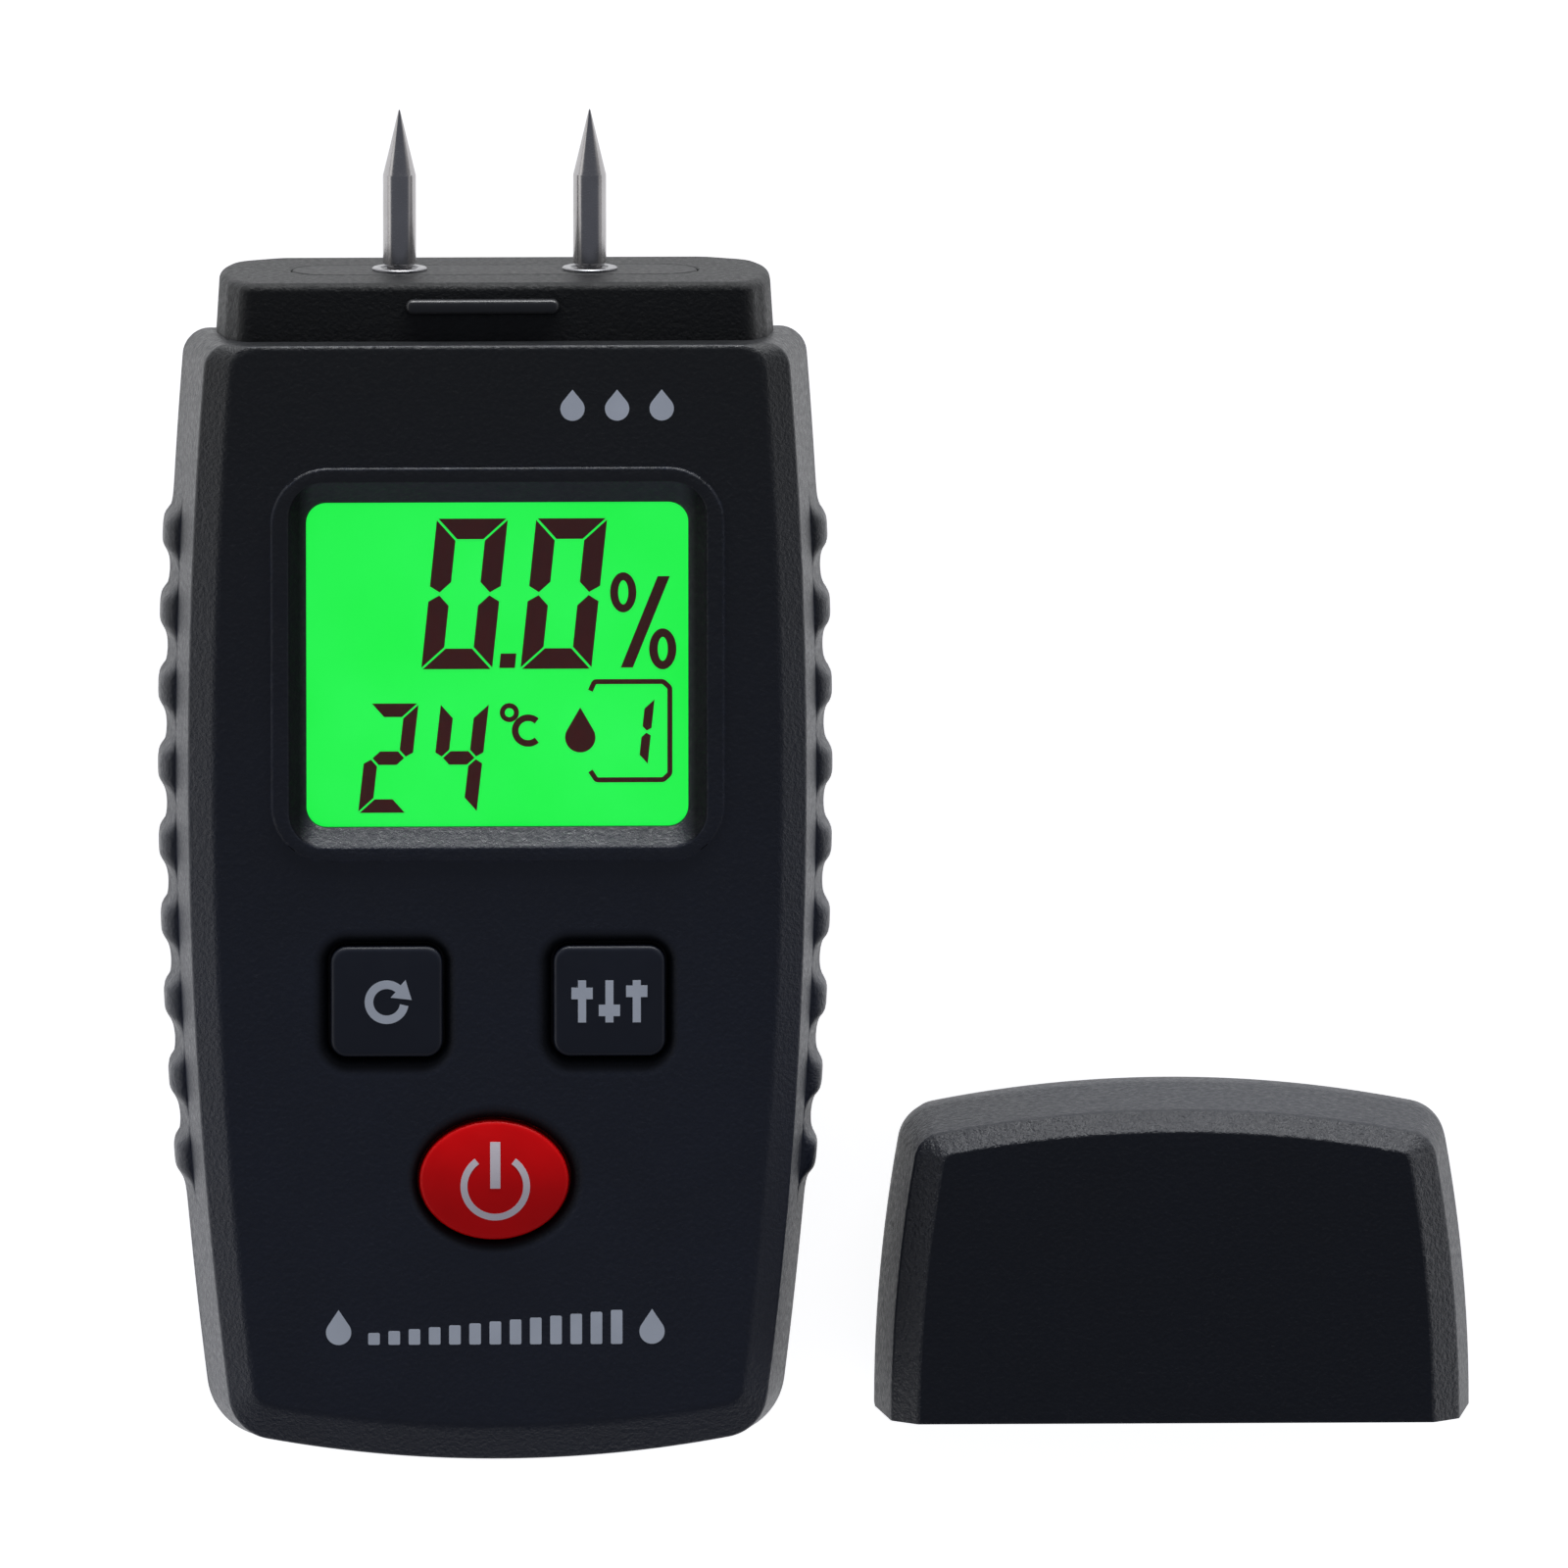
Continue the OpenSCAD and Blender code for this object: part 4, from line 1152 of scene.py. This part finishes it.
def sensor():
    """The temperature sensor: a dipped bead on two wires under the board."""
    corners = node_box("temperature_sensor")
    x, y = [(a + b) / 2 for a, b in zip(*corners)][:2]
    low, high = [corner.z for corner in corners]
    r = 1.5
    shape = Shape()
    turns = [math.radians(6 + 14 * i) for i in range(13)]
    shape.lathe([(r * math.sin(a), r - r * math.cos(a)) for a in turns], (x, y, low), "z", 32)
    for side in (-0.7, 0.7):
        shape.tube([(x + side, y, low + r * 1.4), (x + side, y, high)], 0.25, slots=(1,))
    piece("sensor_bead", shape, "meter", RESIN, PLATED, replaces=["temperature_sensor"], slot="chip_black")


for battery, across, way_up in (("battery_1", -CELL_X, 1), ("battery_2", 0.0, -1), ("battery_3", CELL_X, 1)):
    cell(battery, across, way_up)
springs()
sensor()

NODE_LOOKS = {
    "pin_sockets": BRASS, "pin_contact_strips": BRASS, "window_lens": WINDOW, "lcd_panel": LCD,
    "lcd_holder": IVORY, "backlight_panel": DIFFUSER, "backlight_leds": LED, "contact_rubbers": RUBBER,
    "main_pcb": BOARD, "controller_chip": RESIN, "amplifier_chip": RESIN, "clock_crystal": CAN,
    "smoothing_capacitor": SLEEVE, "chip_resistors": RESIN,
    "mode_plunger": IVORY, "set_plunger": IVORY, "power_plunger": IVORY, "switch_bodies": RESIN,
    "battery_plates": PLATED, "case_screws": PLATED, "pcb_screws": PLATED}
BEVELLED = {"window_lens": 0.15, "lcd_holder": 0.15, "controller_chip": 0.06, "switch_bodies": 0.12,
            "battery_plates": 0.05, "case_screws": 0.1, "clock_crystal": 0.3, "smoothing_capacitor": 0.4}


def dress_nodes():
    """Gives the CAD nodes that still show their materials and softened edges."""
    for name, mat in NODE_LOOKS.items():
        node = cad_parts[name]
        if not node.material_slots:
            node.data.materials.append(mat)
        for slot in node.material_slots:
            slot.material = mat
        if name in BEVELLED:
            bevel = node.modifiers.new("soft edges", "BEVEL")
            bevel.width = BEVELLED[name] * MM
            bevel.segments = 2
            bevel.limit_method = "ANGLE"


dress_nodes()

# -------- floor and light


def lay_floor():
    mesh = bpy.data.meshes.new("floor")
    half, low = 8.0, -0.0002
    corners = [(-half, -half, low), (half, -half, low), (half, half, low), (-half, half, low)]
    mesh.from_pydata(corners, [], [(0, 1, 2, 3)])
    floor = link("floor", mesh)
    paint = Paint("floor", srgb(240, 240, 242), 0.75, Emission_Color=(1, 1, 1, 1), Emission_Strength=0.88)
    paint.rough(4.0, 0.05)
    mesh.materials.append(paint.mat)


def soft_box(name, place, aim, size, power, colour):
    """A rectangular light at place, facing aim, in metres and watts."""
    data = bpy.data.lights.new(name, "AREA")
    data.shape = "RECTANGLE"
    data.size, data.size_y = size
    data.energy = power
    data.color = colour
    light = bpy.data.objects.new(name, data)
    bpy.context.scene.collection.objects.link(light)
    light.visible_camera = False
    light.location = place
    light.rotation_euler = (Vector(aim) - Vector(place)).to_track_quat("-Z", "Y").to_euler()


def surround():
    """A dim ceiling over lighter walls."""
    world = bpy.data.worlds.new("studio")
    bpy.context.scene.world = world
    world.use_nodes = True
    nodes, links = world.node_tree.nodes, world.node_tree.links
    direction = nodes.new("ShaderNodeTexCoord").outputs["Generated"]
    split = nodes.new("ShaderNodeSeparateXYZ")
    links.new(direction, split.inputs[0])
    ramp = nodes.new("ShaderNodeValToRGB")
    walls, ceiling = ramp.color_ramp.elements
    walls.position, walls.color = 0.3, (0.32, 0.32, 0.34, 1)
    ceiling.position, ceiling.color = 0.52, (0.155, 0.165, 0.195, 1)
    links.new(split.outputs["Z"], ramp.inputs["Fac"])
    links.new(ramp.outputs["Color"], nodes["Background"].inputs["Color"])
    nodes["Background"].inputs["Strength"].default_value = 1.0


WARM, COOL = (1.0, 0.99, 0.97), (0.98, 0.99, 1.0)
lay_floor()
soft_box("left_box", (-0.9, 0.05, 0.26), (0, 0, 0.01), (1.6, 0.34), 1.6, WARM)
soft_box("right_box", (0.95, 0.05, 0.26), (0.05, 0, 0.01), (1.0, 0.4), 0.3, WARM)
soft_box("top_box", (0.1, 0.95, 0.1), (0.03, 0, 0.01), (1.2, 0.17), 10.3, COOL)
surround()
bpy.context.scene.view_settings.view_transform = "Standard"
bpy.context.scene.view_settings.look = "None"
